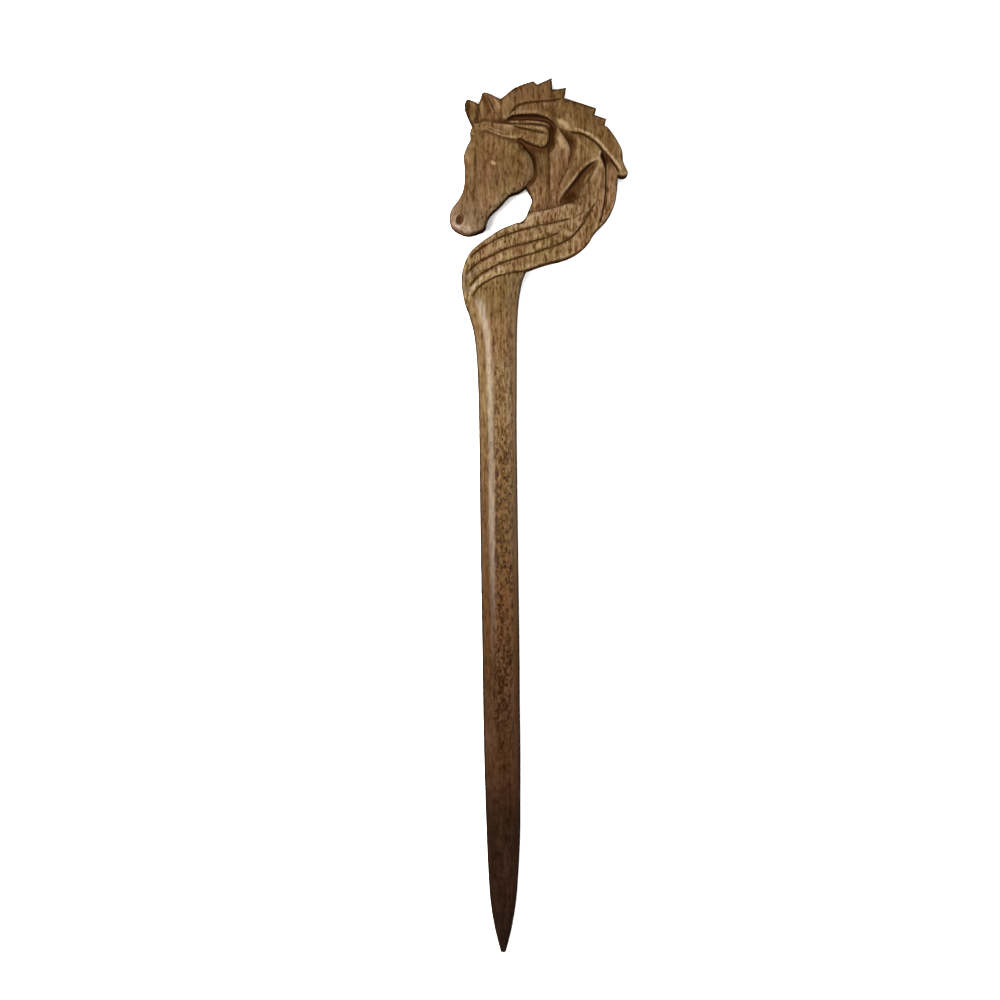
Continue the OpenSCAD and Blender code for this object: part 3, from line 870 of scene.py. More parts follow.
@dataclass
class Forelock:
    """The band of hair that crosses the forehead and ends in a curl over a deep pocket.

    Attributes:
        pocket_floor: Height of the pocket's floor.
    """

    pocket_floor: float = 4.2

    def tools(self) -> list[Tool]:
        """The pocket, the band, the strand in the pocket and the rolls and hollow of the band."""
        strand = Lock(sink=0.3, blend=0.08, rows=(
            (1.5, 180.5, 0.26, 6.9), (3.6, 180.5, 0.32, 6.8), (5.8, 180.5, 0.34, 6.7),
            (8, 180.3, 0.34, 6.6), (9.5, 180, 0.3, 6.3),
        ))
        upper_roll = Crease(half=0.24, rows=(
            (-4.9, 179.2, -0.1), (-3.8, 179.4, -0.26), (-2.7, 179.15, -0.3), (-1.6, 178.6, -0.3),
            (-0.3, 178.25, -0.26), (1, 177.9, -0.1),
        ))
        lower_roll = Crease(half=0.24, rows=(
            (-4.7, 178.6, -0.1), (-3.6, 178.8, -0.24), (-2.5, 178.2, -0.28), (-0.7, 177.6, -0.26),
            (1.6, 176.9, -0.22), (2.5, 176.8, -0.08),
        ))
        hollow = Crease(half=0.4, rows=(
            (1.7, 179.6, 0.1), (3.6, 179.1, 0.2), (6.4, 178.6, 0.3), (8.2, 178.3, 0.3), (10.1, 177.7, 0.25),
        ))
        return [*self.pocket(), self.band(), strand, upper_roll, lower_roll, hollow]

    def pocket(self) -> list[Tool]:
        """The slot above the band and the scoop round its curl."""
        floor = self.pocket_floor
        slot = Gouge(left=9.0, right=8.0, blend=0.12, rows=(
            (0.8, 180.8, 6, 0.05), (1.4, 181.2, 4.9, 0.15), (2.6, 181.4, floor + 0.1, 0.22),
            (5.6, 181.4, floor, 0.25), (8, 181.25, floor, 0.25), (9.6, 180.8, floor + 0.2, 0.25),
            (10.7, 179.8, floor + 0.7, 0.2), (11.1, 178.8, floor + 1.1, 0.1),
        ))
        scoop = Gouge(left=0.75, right=3.0, blend=0.45, rows=(
            (9.2, 180.8, 6, 0.1), (10.4, 180, floor + 1.3, 0.25), (10.8, 178.8, floor + 1.6, 0.35),
            (10.7, 177.1, floor + 1.8, 0.35), (10.1, 175.6, floor + 2.1, 0.3),
            (9.1, 174.6, floor + 2.3, 0.3), (7.5, 174.2, floor + 2.1, 0.3), (5.8, 174.8, floor + 1.9, 0.35),
            (4.5, 175.5, floor + 2, 0.3), (3.5, 176.4, floor + 2.3, 0.2), (2.8, 177, floor + 2.8, 0.1),
        ))
        return [slot, scoop]

    def band(self) -> Mass:
        """The band and its curl."""
        return Mass(reach=0.8, drop=0.6, power=2.2, fall=3.6, spread=1.3, border=(
            (-7.6, 179.6), (-7, 180.4), (-5.5, 180.3), (-4.1, 180.7), (-2, 180.4), (0.8, 180), (4.3, 179.9),
            (7.1, 179.7), (8.6, 179.5), (9.5, 179), (9.9, 178.1), (9.9, 176.9), (9.6, 175.8), (9, 175.2),
            (8.2, 175.05), (7.4, 175.3), (6.6, 175.6), (5.7, 176), (4.9, 176.3), (3.8, 176.9), (2.7, 176.6),
            (1.5, 176.7), (-0.7, 177.25), (-2.5, 177.95), (-3.6, 178.4), (-4.8, 178.3), (-5.6, 178),
            (-6.7, 177.5),
        ), spots=(
            (-6.6, 179, 6.4), (-4.2, 179.6, 7), (-1.4, 179.3, 7.3), (1.7, 178.7, 7.5), (4.7, 178.1, 7.7),
            (6.2, 177, 7.7), (8.2, 176.4, 7.6), (9, 177.9, 7.5), (7.6, 179.1, 7.3), (3.6, 179.2, 7.4),
        ))

    def hair_lines(self) -> list[HairLine]:
        """The band's two edges and the lines that follow its roll into the curl."""
        return [
            HairLine(depth=0.8, rows=(
                (-6.4, 180.3), (-5.1, 180.6), (-4.1, 180.9), (-2, 180.7), (0.8, 180.3), (1.8, 180.1),
            )),
            HairLine(depth=0.6, rows=(
                (-6.4, 177.5), (-5.4, 178), (-4.6, 178.2), (-3.6, 178.4), (-2.5, 177.8), (-0.7, 177.1),
                (1.6, 176.5), (3, 176.3),
            )),
            HairLine(depth=0.6, width=0.8, rows=(
                (-4.3, 179), (-3.4, 179.1), (-2.5, 178.7), (-0.7, 177.95), (0.6, 177.5), (1.6, 177.2),
            )),
            HairLine(depth=0.8, width=0.9, rows=(
                (1.2, 180.2), (3.6, 180), (5.8, 180), (8, 179.8), (9.5, 179.5),
            )),
            HairLine(depth=1.3, width=1.3, rows=(
                (1.7, 179.8), (3.6, 179.1), (5.6, 178.6), (7.6, 178.3), (9.6, 177.8),
            )),
        ]


# the shaft


@dataclass
class Shaft:
    """The tapered stick below the head.

    Attributes:
        width: Width at half its length.
        thickness: Thickness at half its length.
        squareness: Exponent of its section, 2 for an ellipse.
        point_round: Rounding of the edge at the point's end.
        head_round: Rounding of the edge at the end under the head.
        sections: Rows (along, centre, share of width, share of thickness, lift of the underside).
    """

    width: float = 8.2
    thickness: float = 7.2
    squareness: float = 2.5
    point_round: float = 0.2
    head_round: float = 0.3
    sections: Rows = (
        (154, -1.4, 0.78, 0.5, 1.6), (152, -1.5, 1.17, 0.75, 0.6), (150, -1.6, 1.48, 0.94, 0),
        (148.2, -1.6, 1.59, 0.99, 0), (146, -2, 1.5, 1, 0), (142.2, -2.45, 1.44, 1.05, 0),
        (138.6, -2.15, 1.29, 1.05, 0), (134, -1.65, 1.13, 1.04, 0), (125.3, -1.3, 1.04, 1.03, 0),
        (113, -1.15, 1, 1.02, 0), (94, -0.93, 1, 1.01, 0), (67, -0.53, 0.99, 1, 0),
        (55, -0.4, 0.98, 0.98, 0), (44, -0.23, 0.97, 0.96, 0), (33, -0.08, 0.93, 0.94, 0),
        (27, 0.03, 0.9, 0.91, 0), (22.2, 0.03, 0.86, 0.87, 0), (16.8, 0.02, 0.79, 0.8, 0.05),
        (11.4, 0, 0.69, 0.7, 0.1), (5.9, 0, 0.48, 0.5, 0.3), (2.7, 0, 0.3, 0.34, 0.5),
        (1.1, 0, 0.2, 0.24, 0.65), (0.3, 0, 0.15, 0.18, 0.8), (-0.6, 0, 0.05, 0.08, 0.95),
    )

    def section(self, y: Array) -> tuple[Array, Array, Array, Array]:
        """The section at each place along the stick.

        Args:
            y: Places along the stick.

        Returns:
            Its centre sideways, half width, half thickness and the lift of its underside.
        """
        table = open_curve(self.sections[::-1], parts=8)
        centre, wide, thick, lift = (np.interp(y, table[:, 0], table[:, k]) for k in (1, 2, 3, 4))
        return centre, wide * self.width / 2, thick * self.thickness / 2, lift

    def top(self, x: Array, y: Array) -> Array:
        """Height of the shaft's upper face, 0 beside it.

        Args:
            x: Places sideways.
            y: Places along the stick.

        Returns:
            The heights.
        """
        centre, half_w, half_t, lift = self.section(y)
        u = np.abs(x - centre) / half_w
        n = self.squareness
        crown = lift + half_t * (1 + np.maximum(1 - u**n, 0) ** (1 / n))
        return np.where((u < 1) & (y < self.sections[0][0]), crown, 0.0)

    def distance(self, x: Array, y: Array, z: Array) -> Array:
        """Distance to the shaft's surface.

        Args:
            x: Places sideways.
            y: Places along the stick.
            z: Heights.

        Returns:
            The distance, negative inside.
        """
        centre, half_w, half_t, lift = self.section(y)
        u, w = np.abs(x - centre) / half_w, np.abs(z - lift - half_t) / half_t
        n = self.squareness
        least_level, least_slope = 1e-9, 1e-6
        level = np.maximum(u**n + w**n, least_level) ** (1 / n)
        slope = np.sqrt((u ** (n - 1) / half_w) ** 2 + (w ** (n - 1) / half_t) ** 2) / level ** (n - 1)
        body = (level - 1) / np.maximum(slope, least_slope)
        pointed = round_corner(body, -y, self.point_round)
        return round_corner(pointed, y - self.sections[0][0], self.head_round)


# from the drawing to a mesh

CORNERS: list[tuple[int, int, int]] = [(a, b, c) for a in (0, 1) for b in (0, 1) for c in (0, 1)]


@dataclass
class Stick:
    """The whole carved solid, as a distance that a skin is laid over.

    Attributes:
        relief: The carved height map of the head.
        shaft: The stick below it.
        top_round: Rounding of the edge between the carving and the walls.
        back_round: Rounding of the edge round the flat back.
        joint: Fillet between the head and the shaft.
        steepest: Steepest slope of the carving that its distance is corrected for.
    """

    relief: Relief
    shaft: Shaft
    top_round: float = 0.45
    back_round: float = 0.8
    joint: float = 0.35
    steepest: float = 3.0
    inset: Array = field(init=False)
    steepness: Array = field(init=False)

    def __post_init__(self) -> None:
        """Measures the head's outline and how steep the carving is."""
        relief = self.relief
        self.inset = border_distance(relief.x, relief.y, closed_curve(HEAD_OUTLINE))
        rise = np.gradient(relief.z, relief.step)
        self.steepness = np.sqrt(1 + np.minimum(rise[0] ** 2 + rise[1] ** 2, self.steepest**2))

    def distance(self, x: Array, y: Array, z: Array) -> Array:
        """Distance to the stick's surface.

        Args:
            x: Places sideways.
            y: Places along the stick.
            z: Heights.

        Returns:
            The distance, negative inside.
        """
        relief = self.relief
        flat_x, flat_y = np.broadcast_arrays(x[..., :1], y[..., :1]) if x.ndim == 3 else (x, y)
        height = relief.sample(relief.z, flat_x, flat_y)
        inset = relief.sample(self.inset, flat_x, flat_y)
        steep = relief.sample(self.steepness, flat_x, flat_y)
        head = round_corner((z - height) / steep, -inset, self.top_round)
        head = round_corner(head, -z, self.back_round)
        return -soft_max(-head, -self.shaft.distance(x, y, z), self.joint)


@dataclass
class Skin:
    """A closed skin of four-sided faces over a solid given by distance.

    Attributes:
        solid: The solid.
        fine: Grid step over the head.
        coarse: Longest grid step along the shaft.
        rise: Grid step upwards.
        low: Lowest place of the grid.
        high: Highest place of the grid.
        head_y: Where the head starts along the stick.
        growth: What the grid step gains for each millimetre from the head or the point.
        slab: Grid places along the stick that are worked out at a time.
    """

    solid: Stick
    fine: float = 0.12
    coarse: float = 0.7
    rise: float = 0.2
    low: Triple = (-12.3, -0.45, -0.5)
    high: Triple = (27.9, 191.0, 9.3)
    head_y: float = 138.5
    growth: float = 0.05
    slab: int = 100

    def axes(self) -> tuple[Array, Array, Array]:
        """Lays out the grid, finest over the head.

        Returns:
            Its places along the three axes.
        """
        along = [self.low[1]]
        while along[-1] < self.high[1]:
            y = along[-1]
            far = min(abs(y), abs(self.head_y - y)) if y < self.head_y else 0
            along.append(y + min(self.fine + self.growth * far, self.coarse))
        sideways = np.arange(self.low[0], self.high[0], self.fine)
        return sideways, np.array(along), np.arange(self.low[2], self.high[2], self.rise)

    def distances(self, axes: tuple[Array, Array, Array]) -> Array:
        """Distance to the solid's surface at every grid place.

        Args:
            axes: Grid places along the three axes.

        Returns:
            The distances, negative inside.
        """
        x, y, z = axes[0][:, None, None], axes[1][None, :, None], axes[2][None, None, :]
        value = np.empty((x.size, y.size, z.size), np.float32)
        for start in range(0, y.size, self.slab):
            part = slice(start, start + self.slab)
            value[:, part] = self.solid.distance(x, y[:, part], z)
        return value

    def build(self) -> tuple[Array, Array]:
        """Lays the skin.

        Returns:
            The points, and the faces as rows of four point numbers, turned outwards.
        """
        axes = self.axes()
        value = self.distances(axes)
        inside = value < 0
        cells = tuple(n - 1 for n in value.shape)
        shifts = [tuple(slice(c, c + n) for c, n in zip(corner, cells)) for corner in CORNERS]
        filled = sum(inside[shift].astype(np.uint8) for shift in shifts)
        crossed = np.nonzero((filled > 0) & (filled < len(CORNERS)))
        number = np.full(cells, -1, np.int32)
        number[crossed] = np.arange(len(crossed[0]))
        return self.settled(self.middles(axes, value, crossed)), self.faces(inside, number)

    @staticmethod
    def middles(axes: tuple[Array, Array, Array], value: Array, cells: tuple[Array, ...]) -> Array:
        """One point in each cell, in the middle of where the surface crosses the cell's edges.

        Args:
            axes: Grid places along the three axes.
            value: Distance at every grid place.
            cells: The cells' numbers along each axis.

        Returns:
            The points, one row each.
        """
        total = np.zeros((len(cells[0]), 3))
        count = np.zeros(len(cells[0]))
        for first, axis in ((c, n) for c in CORNERS for n in range(3) if not c[n]):
            second = tuple(1 if n == axis else v for n, v in enumerate(first))
            places = [tuple(n + c for n, c in zip(cells, corner)) for corner in (first, second)]
            a, b = (value[place] for place in places)
            cut = (a < 0) != (b < 0)
            share = np.where(cut, a / np.where(cut, a - b, 1), 0)
            for n in range(3):
                start, end = (axes[n][place[n]] for place in places)
                total[:, n] += cut * (start + share * (end - start))
            count += cut
        return total / count[:, None]

    def settled(self, points: Array) -> Array:
        """Moves points onto the solid's surface.

        Args:
            points: Points near it.

        Returns:
            The moved points.
        """
        rounds, gap, flattest, farthest = 3, 0.02, 0.05, 0.06
        for _ in range(rounds):
            here = self.solid.distance(*points.T)
            ahead, behind = (
                np.stack([self.solid.distance(*(points + side * way).T) for way in gap * np.eye(3)], axis=1)
                for side in (1, -1)
            )
            slope = (ahead - behind) / (2 * gap)
            steep = np.maximum((slope**2).sum(1), flattest)
            move = np.clip(here / steep, -farthest, farthest)
            points = points - move[:, None] * slope
        return points

    @staticmethod
    def faces(inside: Array, number: Array) -> Array:
        """Joins the cells' points round every grid edge that the surface crosses.

        Args:
            inside: Whether each grid place is inside the solid.
            number: The point number of each cell, or -1.

        Returns:
            The faces as rows of four point numbers.
        """
        quads = []
        for axis in range(3):
            u, v = [n for n in range(3) if n != axis]
            low = [slice(1, -1)] * 3
            low[axis] = slice(0, -1)
            high = list(low)
            high[axis] = slice(1, None)
            a, b = inside[tuple(low)], inside[tuple(high)]
            places = np.array(np.nonzero(a != b))
            leaves = a[tuple(places)]
            ring = []
            for du, dv in ((0, 0), (1, 0), (1, 1), (0, 1)):
                cell = places.copy()
                cell[u] += du
                cell[v] += dv
                ring.append(number[tuple(cell)])
            ring = np.array(ring).T
            outward = leaves if axis != 1 else ~leaves
            quads.append(np.where(outward[:, None], ring, ring[:, ::-1]))
        return np.concatenate(quads)


def placed(name: str, data: bpy.types.ID) -> bpy.types.Object:
    """Puts a new object into the scene.

    Args:
        name: Its name.
        data: Its mesh, light or camera.

    Returns:
        The object.
    """
    made = bpy.data.objects.new(name, data)
    bpy.context.scene.collection.objects.link(made)
    return made


# node trees


def operator(operation: str, turned: bool = False) -> Callable[["Wire", "Value"], "Wire"]:
    """Makes an operator of wires that adds a Math or Vector Math node.

    Args:
        operation: The node's operation.
        turned: Whether the wire comes second.

    Returns:
        The operator.
    """

    def joined(wire: "Wire", other: "Value") -> "Wire":
        """The result of the node."""
        kind = "ShaderNodeVectorMath" if wire.socket.type == "VECTOR" else "ShaderNodeMath"
        first, second = (other, wire) if turned else (wire, other)
        return wire.graph.node(kind, {"operation": operation}, {0: first, 1: second})

    return joined


class Wire:
    """A node's output that takes part in Python expressions."""

    def __init__(self, graph: "Graph", socket: bpy.types.NodeSocket) -> None:
        """Keeps the output and the tree that it is in."""
        self.graph = graph
        self.socket = socket

    __add__, __radd__ = operator("ADD"), operator("ADD", turned=True)
    __sub__, __rsub__ = operator("SUBTRACT"), operator("SUBTRACT", turned=True)
    __mul__, __rmul__ = operator("MULTIPLY"), operator("MULTIPLY", turned=True)
    __truediv__ = operator("DIVIDE")

    def __abs__(self) -> "Wire":
        """abs(self)"""
        return self.graph.node("ShaderNodeMath", {"operation": "ABSOLUTE"}, {0: self})

    def sine(self) -> "Wire":
        """Its sine."""
        return self.graph.node("ShaderNodeMath", {"operation": "SINE"}, {0: self})

    def rise(self, start: float, end: float, low: float = 0.0, high: float = 1.0) -> "Wire":
        """Smooth step from low at the start to high at the end, held beyond them."""
        settings = {"interpolation_type": "SMOOTHSTEP"}
        return self.graph.node("ShaderNodeMapRange", settings, {0: self, 1: start, 2: end, 3: low, 4: high})


Value = Wire | float | tuple[float, ...]


class Graph:
    """A node tree that is filled by calls."""

    def __init__(self, tree: bpy.types.NodeTree) -> None:
        """Empties the tree."""
        self.tree = tree
        tree.nodes.clear()

    def node(
        self,
        kind: str,
        settings: dict[str, Any] | None = None,
        inputs: dict[int | str, Any] | None = None,
        output: int | str = 0,
    ) -> Wire:
        """Adds a node.

        Args:
            kind: The node's type.
            settings: Its settings, made first. "stops" holds a ramp's (place, colour) pairs.
            inputs: Values or wires of its sockets.
            output: The output to read.

        Returns:
            The wire from that output, or from none where the node has none.
        """
        made = self.tree.nodes.new(kind)
        for name, value in (settings or {}).items():
            if name == "stops":
                ramp = made.color_ramp
                while len(ramp.elements) < len(value):
                    ramp.elements.new(1.0)
                for element, (place, colour) in zip(ramp.elements, value):
                    element.position, element.color = place, (*colour, 1.0)
            else:
                setattr(made, name, value)
        for name, value in (inputs or {}).items():
            if isinstance(value, Wire):
                self.tree.links.new(value.socket, made.inputs[name])
            else:
                made.inputs[name].default_value = value
        if not len(made.outputs):
            return Wire(self, made.inputs[0])
        return Wire(self, made.outputs[output])

    def mix(self, share: Value, first: Any, second: Any, blend: str = "MIX") -> Wire:
        """Mixes two colours.

        Args:
            share: Share of the second.
            first: The first colour, a wire or (r, g, b).
            second: The second colour.
            blend: How they are mixed.

        Returns:
            The mixed colour.
        """
        first, second = (v if isinstance(v, Wire) else (*v, 1.0) for v in (first, second))
        settings = {"data_type": "RGBA", "blend_type": blend, "clamp_factor": True}
        return self.node("ShaderNodeMix", settings, {0: share, 6: first, 7: second}, 2)


@dataclass(frozen=True)
class Noise:
    """A noise pattern, drawn out along the grain.

    Attributes:
        stretch: Cycles to the millimetre along x, y and z.
        weight: Its part in the pattern that it is added to.
        detail: Octaves.
        roughness: Strength of each octave beside the one before.
        distortion: How far it bends itself.
        sharp: Values between which it turns from 0 to 1, or none for a soft noise about 0.
    """

    stretch: Triple
    weight: float = 1.0
    detail: float = 2.0
    roughness: float = 0.5
    distortion: float = 0.0
    sharp: Pair | None = None

    def raw(self, graph: Graph, place: Wire) -> Wire:
        """The noise at a place in millimetres, about 0 to 1."""
        inputs = {
            "Vector": place * self.stretch, "Scale": 1.0, "Detail": self.detail,
            "Roughness": self.roughness, "Distortion": self.distortion,
        }
        return graph.node("ShaderNodeTexNoise", {"noise_dimensions": "3D"}, inputs)

    def read(self, graph: Graph, place: Wire) -> Wire:
        """The same noise, made sharp or set about 0."""
        raw = self.raw(graph, place)
        return raw.rise(*self.sharp) if self.sharp else raw - 0.5


@dataclass
class LineCarver:
    """Cuts hair lines into a skin with Geometry Nodes, as a knife follows the drawn paths.

    Attributes:
        depth: Depth of a full line.
        half: Half width of a full line.
        spacing: Distance between the points of a path.
        run_out: Length over which a line fades at each end, where it is long enough.
        start: How far that fade has come at the very end, 0 to 1.
        slim: Share of its width that a line keeps there.
        wander: How far the hand strays from the path.
        wander_pitch: Cycles of that straying to the millimetre.
        uneven: Share of its depth that a line loses where the hand was light.
        uneven_pitch: Cycles of the hand's pressure to the millimetre.
        light: Values of that pressure between which the hand gets light.
        facing: How far a surface faces up where cuts fade in, and where they are full.
        seed: Seed of the straying and the pressure.
    """

    depth: float = 0.4
    half: float = 0.27
    spacing: float = 0.12
    run_out: float = 1.4
    start: float = 0.05
    slim: float = 0.45
    wander: float = 0.16
    wander_pitch: float = 0.45
    uneven: float = 0.35
    uneven_pitch: float = 0.6
    light: Pair = (0.62, 0.36)
    facing: Pair = (0.05, 0.45)
    seed: float = 7.0

    def paths(self, lines: list[HairLine], stick: Stick, shift: Array) -> bpy.types.Object:
        """Makes the drawn paths as strings of points that carry each cut's depth and width.

        Args:
            lines: The lines.
            stick: The solid that they lie on.
            shift: From the drawing to the frame.

        Returns:
            An object of edges, for the node tree alone.
        """
        fewest = 4
        points, edges, depths, widths = [], [], [], []
        for line in lines:
            rough = open_curve(line.rows, parts=12)
            lengths = np.concatenate([[0], np.cumsum(np.hypot(*np.diff(rough, axis=0).T))])
            whole = lengths[-1]
            places = np.linspace(0, whole, max(int(whole / self.spacing), fewest))
            x, y = (np.interp(places, lengths, rough[:, k]) for k in (0, 1))
            z = np.maximum(stick.relief.sample(stick.relief.z, x, y), stick.shaft.top(x, y))
            first = len(points)
            points += list((np.stack([x, y, z], 1) + shift) * MM)
            edges += [(first + n, first + n + 1) for n in range(len(x) - 1)]
            ends = ease(np.minimum(places, whole - places) / min(self.run_out, whole / 3) + self.start)
            depths += list(line.depth * ends)
            widths += list(line.width * (self.slim + (1 - self.slim) * ends))
        mesh = bpy.data.meshes.new("hair_line_paths")
        mesh.from_pydata(points, edges, [])
        for name, values in (("cut_depth", depths), ("cut_width", widths)):
            mesh.attributes.new(name, "FLOAT", "POINT").data.foreach_set("value", values)
        return placed(mesh.name, mesh)

    def tree(self) -> bpy.types.NodeTree:
        """Builds the node tree.

        Returns:
            The tree, with inputs for the paths, sizes and finish.
        """
        tree = bpy.data.node_groups.new("cut_hair_lines", "GeometryNodeTree")
        tree.interface.new_socket("Geometry", in_out="OUTPUT", socket_type="NodeSocketGeometry")
        for name, kind in (
            ("Geometry", "Geometry"), ("Paths", "Object"), ("Depth", "Float"), ("Half Width", "Float"),
            ("Wander", "Float"), ("Uneven", "Float"), ("Seed", "Float"), ("Finish", "Material"),
        ):
            tree.interface.new_socket(name, in_out="INPUT", socket_type="NodeSocket" + kind)
        graph = Graph(tree)
        given = graph.node("NodeGroupInput")
        take = {socket.name: Wire(graph, socket) for socket in given.socket.node.outputs}
        place = graph.node("GeometryNodeInputPosition")
        across, pressed = self.nearest_line(graph, take, place)
        hand = {"Vector": place, "W": take["Seed"], "Scale": self.uneven_pitch / MM, "Detail": 2.0}
        pressure = graph.node("ShaderNodeTexNoise", {"noise_dimensions": "4D"}, hand)
        light = pressure.rise(*self.light) * take["Uneven"]
        up = graph.node("ShaderNodeSeparateXYZ", {}, {0: graph.node("GeometryNodeInputNormal")}, "Z")
        cut = across.rise(0.0, 1.0, 1.0, 0.0) * pressed * (1.0 - light) * up.rise(*self.facing)
        move = graph.node("ShaderNodeCombineXYZ", {}, {"Z": cut * take["Depth"] * -1.0})
        named = graph.node(
            "GeometryNodeStoreNamedAttribute",
            {"data_type": "FLOAT", "domain": "POINT"},
            {"Geometry": take["Geometry"], "Name": "cut", "Value": cut},
        )
        moved = graph.node("GeometryNodeSetPosition", {}, {"Geometry": named, "Offset": move})
        smooth = graph.node("GeometryNodeSetShadeSmooth", {}, {"Geometry": moved})
        real = graph.node("GeometryNodeRealizeInstances", {}, {"Geometry": smooth})
        dressed = graph.node("GeometryNodeSetMaterial", {}, {"Geometry": real, "Material": take["Finish"]})
        graph.node("NodeGroupOutput", {}, {"Geometry": dressed})
        return tree

    def nearest_line(self, graph: Graph, take: dict[str, Wire], place: Wire) -> tuple[Wire, Wire]:
        """Reads the nearest path, strayed from as a hand does.

        Args:
            graph: The tree.
            take: The tree's inputs.
            place: Where the paths are read.

        Returns:
            The distance to the path, as a share of its half width, and its depth.
        """
        hand = {"Vector": place, "W": take["Seed"], "Scale": self.wander_pitch / MM, "Detail": 1.0}
        stray = graph.node("ShaderNodeTexNoise", {"noise_dimensions": "4D"}, hand, "Color")
        middle = (0.5, 0.5, 0.5)
        stray = graph.node("ShaderNodeVectorMath", {"operation": "SUBTRACT"}, {0: stray, 1: middle})
        reach = {0: stray, "Scale": take["Wander"]}
        stray = graph.node("ShaderNodeVectorMath", {"operation": "SCALE"}, reach)
        given = {"Object": take["Paths"]}
        paths = graph.node("GeometryNodeObjectInfo", {"transform_space": "ORIGINAL"}, given, "Geometry")
        at = {0: paths, "Sample Position": place + stray}
        away = graph.node("GeometryNodeProximity", {"target_element": "EDGES"}, at, "Distance")
        index = graph.node("GeometryNodeSampleNearest", {"domain": "POINT"}, at)
        share = {}
        for name in ("cut_depth", "cut_width"):
            value = graph.node("GeometryNodeInputNamedAttribute", {"data_type": "FLOAT"}, {"Name": name})
            kind = {"data_type": "FLOAT", "domain": "POINT"}
            given = {0: paths, "Value": value, "Index": index}
            share[name] = graph.node("GeometryNodeSampleIndex", kind, given)
        return away / (take["Half Width"] * share["cut_width"]), share["cut_depth"]

    def cut(self, blank: bpy.types.Object, paths: bpy.types.Object, finish: bpy.types.Material) -> None:
        """Puts the tree on an object and gives it its inputs.

        Args:
            blank: The object to be cut.
            paths: The drawn paths.
            finish: The material that the object gets.
        """
        tree = self.tree()
        modifier = blank.modifiers.new("cut_hair_lines", "NODES")
        modifier.node_group = tree
        values = {
            "Paths": paths, "Depth": self.depth * MM, "Half Width": self.half * MM,
            "Wander": self.wander * MM, "Uneven": self.uneven, "Seed": self.seed, "Finish": finish,
        }
        for item in tree.interface.items_tree:
            if item.in_out == "INPUT" and item.name in values:
                modifier[item.identifier] = values[item.name]


# the finish


@dataclass(frozen=True)
class Passage:
    """A dark or light passage: the wood's own figure in some, painted shade and painted highlights in
    others.

    Attributes:
        at: Its middle, on the drawing.
        half_width: Half its width.
        half_length: Half its length.
        depth: 1 for a dark one, below 0 for a light one.
        turn: Its turn from the run of the grain, in degrees anticlockwise.
    """

    at: Pair
    half_width: float
    half_length: float
    depth: float
    turn: float = 0.0

    def strength(self, x: Array, y: Array) -> Array:
        """How strongly it shows.

        Args:
            x: Places sideways.
            y: Places along the stick.

        Returns:
            Its strength at each place.
        """
        turn = math.radians(self.turn)
        dx, dy = x - self.at[0], y - self.at[1]
        across = (dx * math.cos(turn) + dy * math.sin(turn)) / self.half_width
        along = (dy * math.cos(turn) - dx * math.sin(turn)) / self.half_length
        return self.depth * np.exp(-(across**2) - along**4)


class Zone(Enum):
    """A part of the drawing: where it fades in, is full, fades out and is gone, in millimetres."""

    STRIP_ACROSS = (-2.25, -1.55, 1.65, 2.45)
    STRIP_ALONG = (36.0, 56.0, 112.0, 140.0)
    WRAP_ALONG = (143.0, 148.0, 158.0, 164.0)
    MUZZLE_ALONG = (155.2, 156.6, 161.0, 166.0)

    def over(self, place: Wire) -> Wire:
        """1 inside the zone and 0 outside."""
        return place.rise(*self.value[:2]) * place.rise(*self.value[2:], 1.0, 0.0)


class Fade(Enum):
    """A smooth change: where it starts and ends, and its values there where they aren't 0 and 1.

    It runs over the drawing in millimetres, or over the values of a pattern or a mark.
    """

    MUZZLE_ACROSS = (-5.15, -3.75, 1.0, 0.0)
    BELOW_THE_WRAP = (136.0, 144.0, 1.0, 0.0)
    CALM_RIGHT = (1.75, 2.55, 0.0, 0.75)
    CALM_LEFT = (-2.55, -1.75, 0.2, 0.0)
    FIGURE_UP_SHAFT = (40.0, 80.0, 0.6, 1.0)
    FIGURE_INTO_HEAD = (161.0, 169.0, 1.0, 0.74)
    FLAMES_UP_SHAFT = (30.0, 70.0, 0.9, 0.0)
    VEINS_INTO_HEAD = (161.0, 167.0, 0.12, 0.4)
    CURL_LIGHT_UP_SHAFT = (104.0, 116.0, 0.55, 0.3)
    CURL_DARK_UP_SHAFT = (104.0, 118.0, 0.75, 0.1)
    VARNISH_UP_SHAFT = (60.0, 96.0, 0.12, 1.0)
    VARNISH_INTO_HEAD = (146.0, 151.0, 1.0, 0.15)
    CURL_DARK = (0.05, 0.4, 1.0, 0.0)
    CURL_LIGHT = (0.54, 0.64)
    # dark and light grain, with the passages' painted shade and painted highlights
    GRAIN_DARK = (0.05, -0.5)
    GRAIN_LIGHT = (-0.05, 0.5)
    PINKISH = (0.5, 0.62)
    GREENISH = (0.48, 0.38)
    # pale painted highlights
    RUBBED_PALE = (-1.0, -1.6)
    # dark stain and painted shade in the hollows
    SOAKED = (0.08, 1.0, 0.0, 0.95)
    # dark stain and painted shade in the knife lines
    INKED = (0.12, 0.9, 0.0, 0.95)

    def over(self, place: Wire) -> Wire:
        """The changing value."""
        return place.rise(*self.value)


# Marks stored on the skin, in this order: stain and painted shade in the hollows, painted shade in the
# valleys, painted highlights on the ridges, the knife lines, painted shade on the walls and outline, and
# the passages of figure, painted shade and painted highlight.
MARKS = ("hollow", "dusk", "ridge", "cut", "edge", "passage")


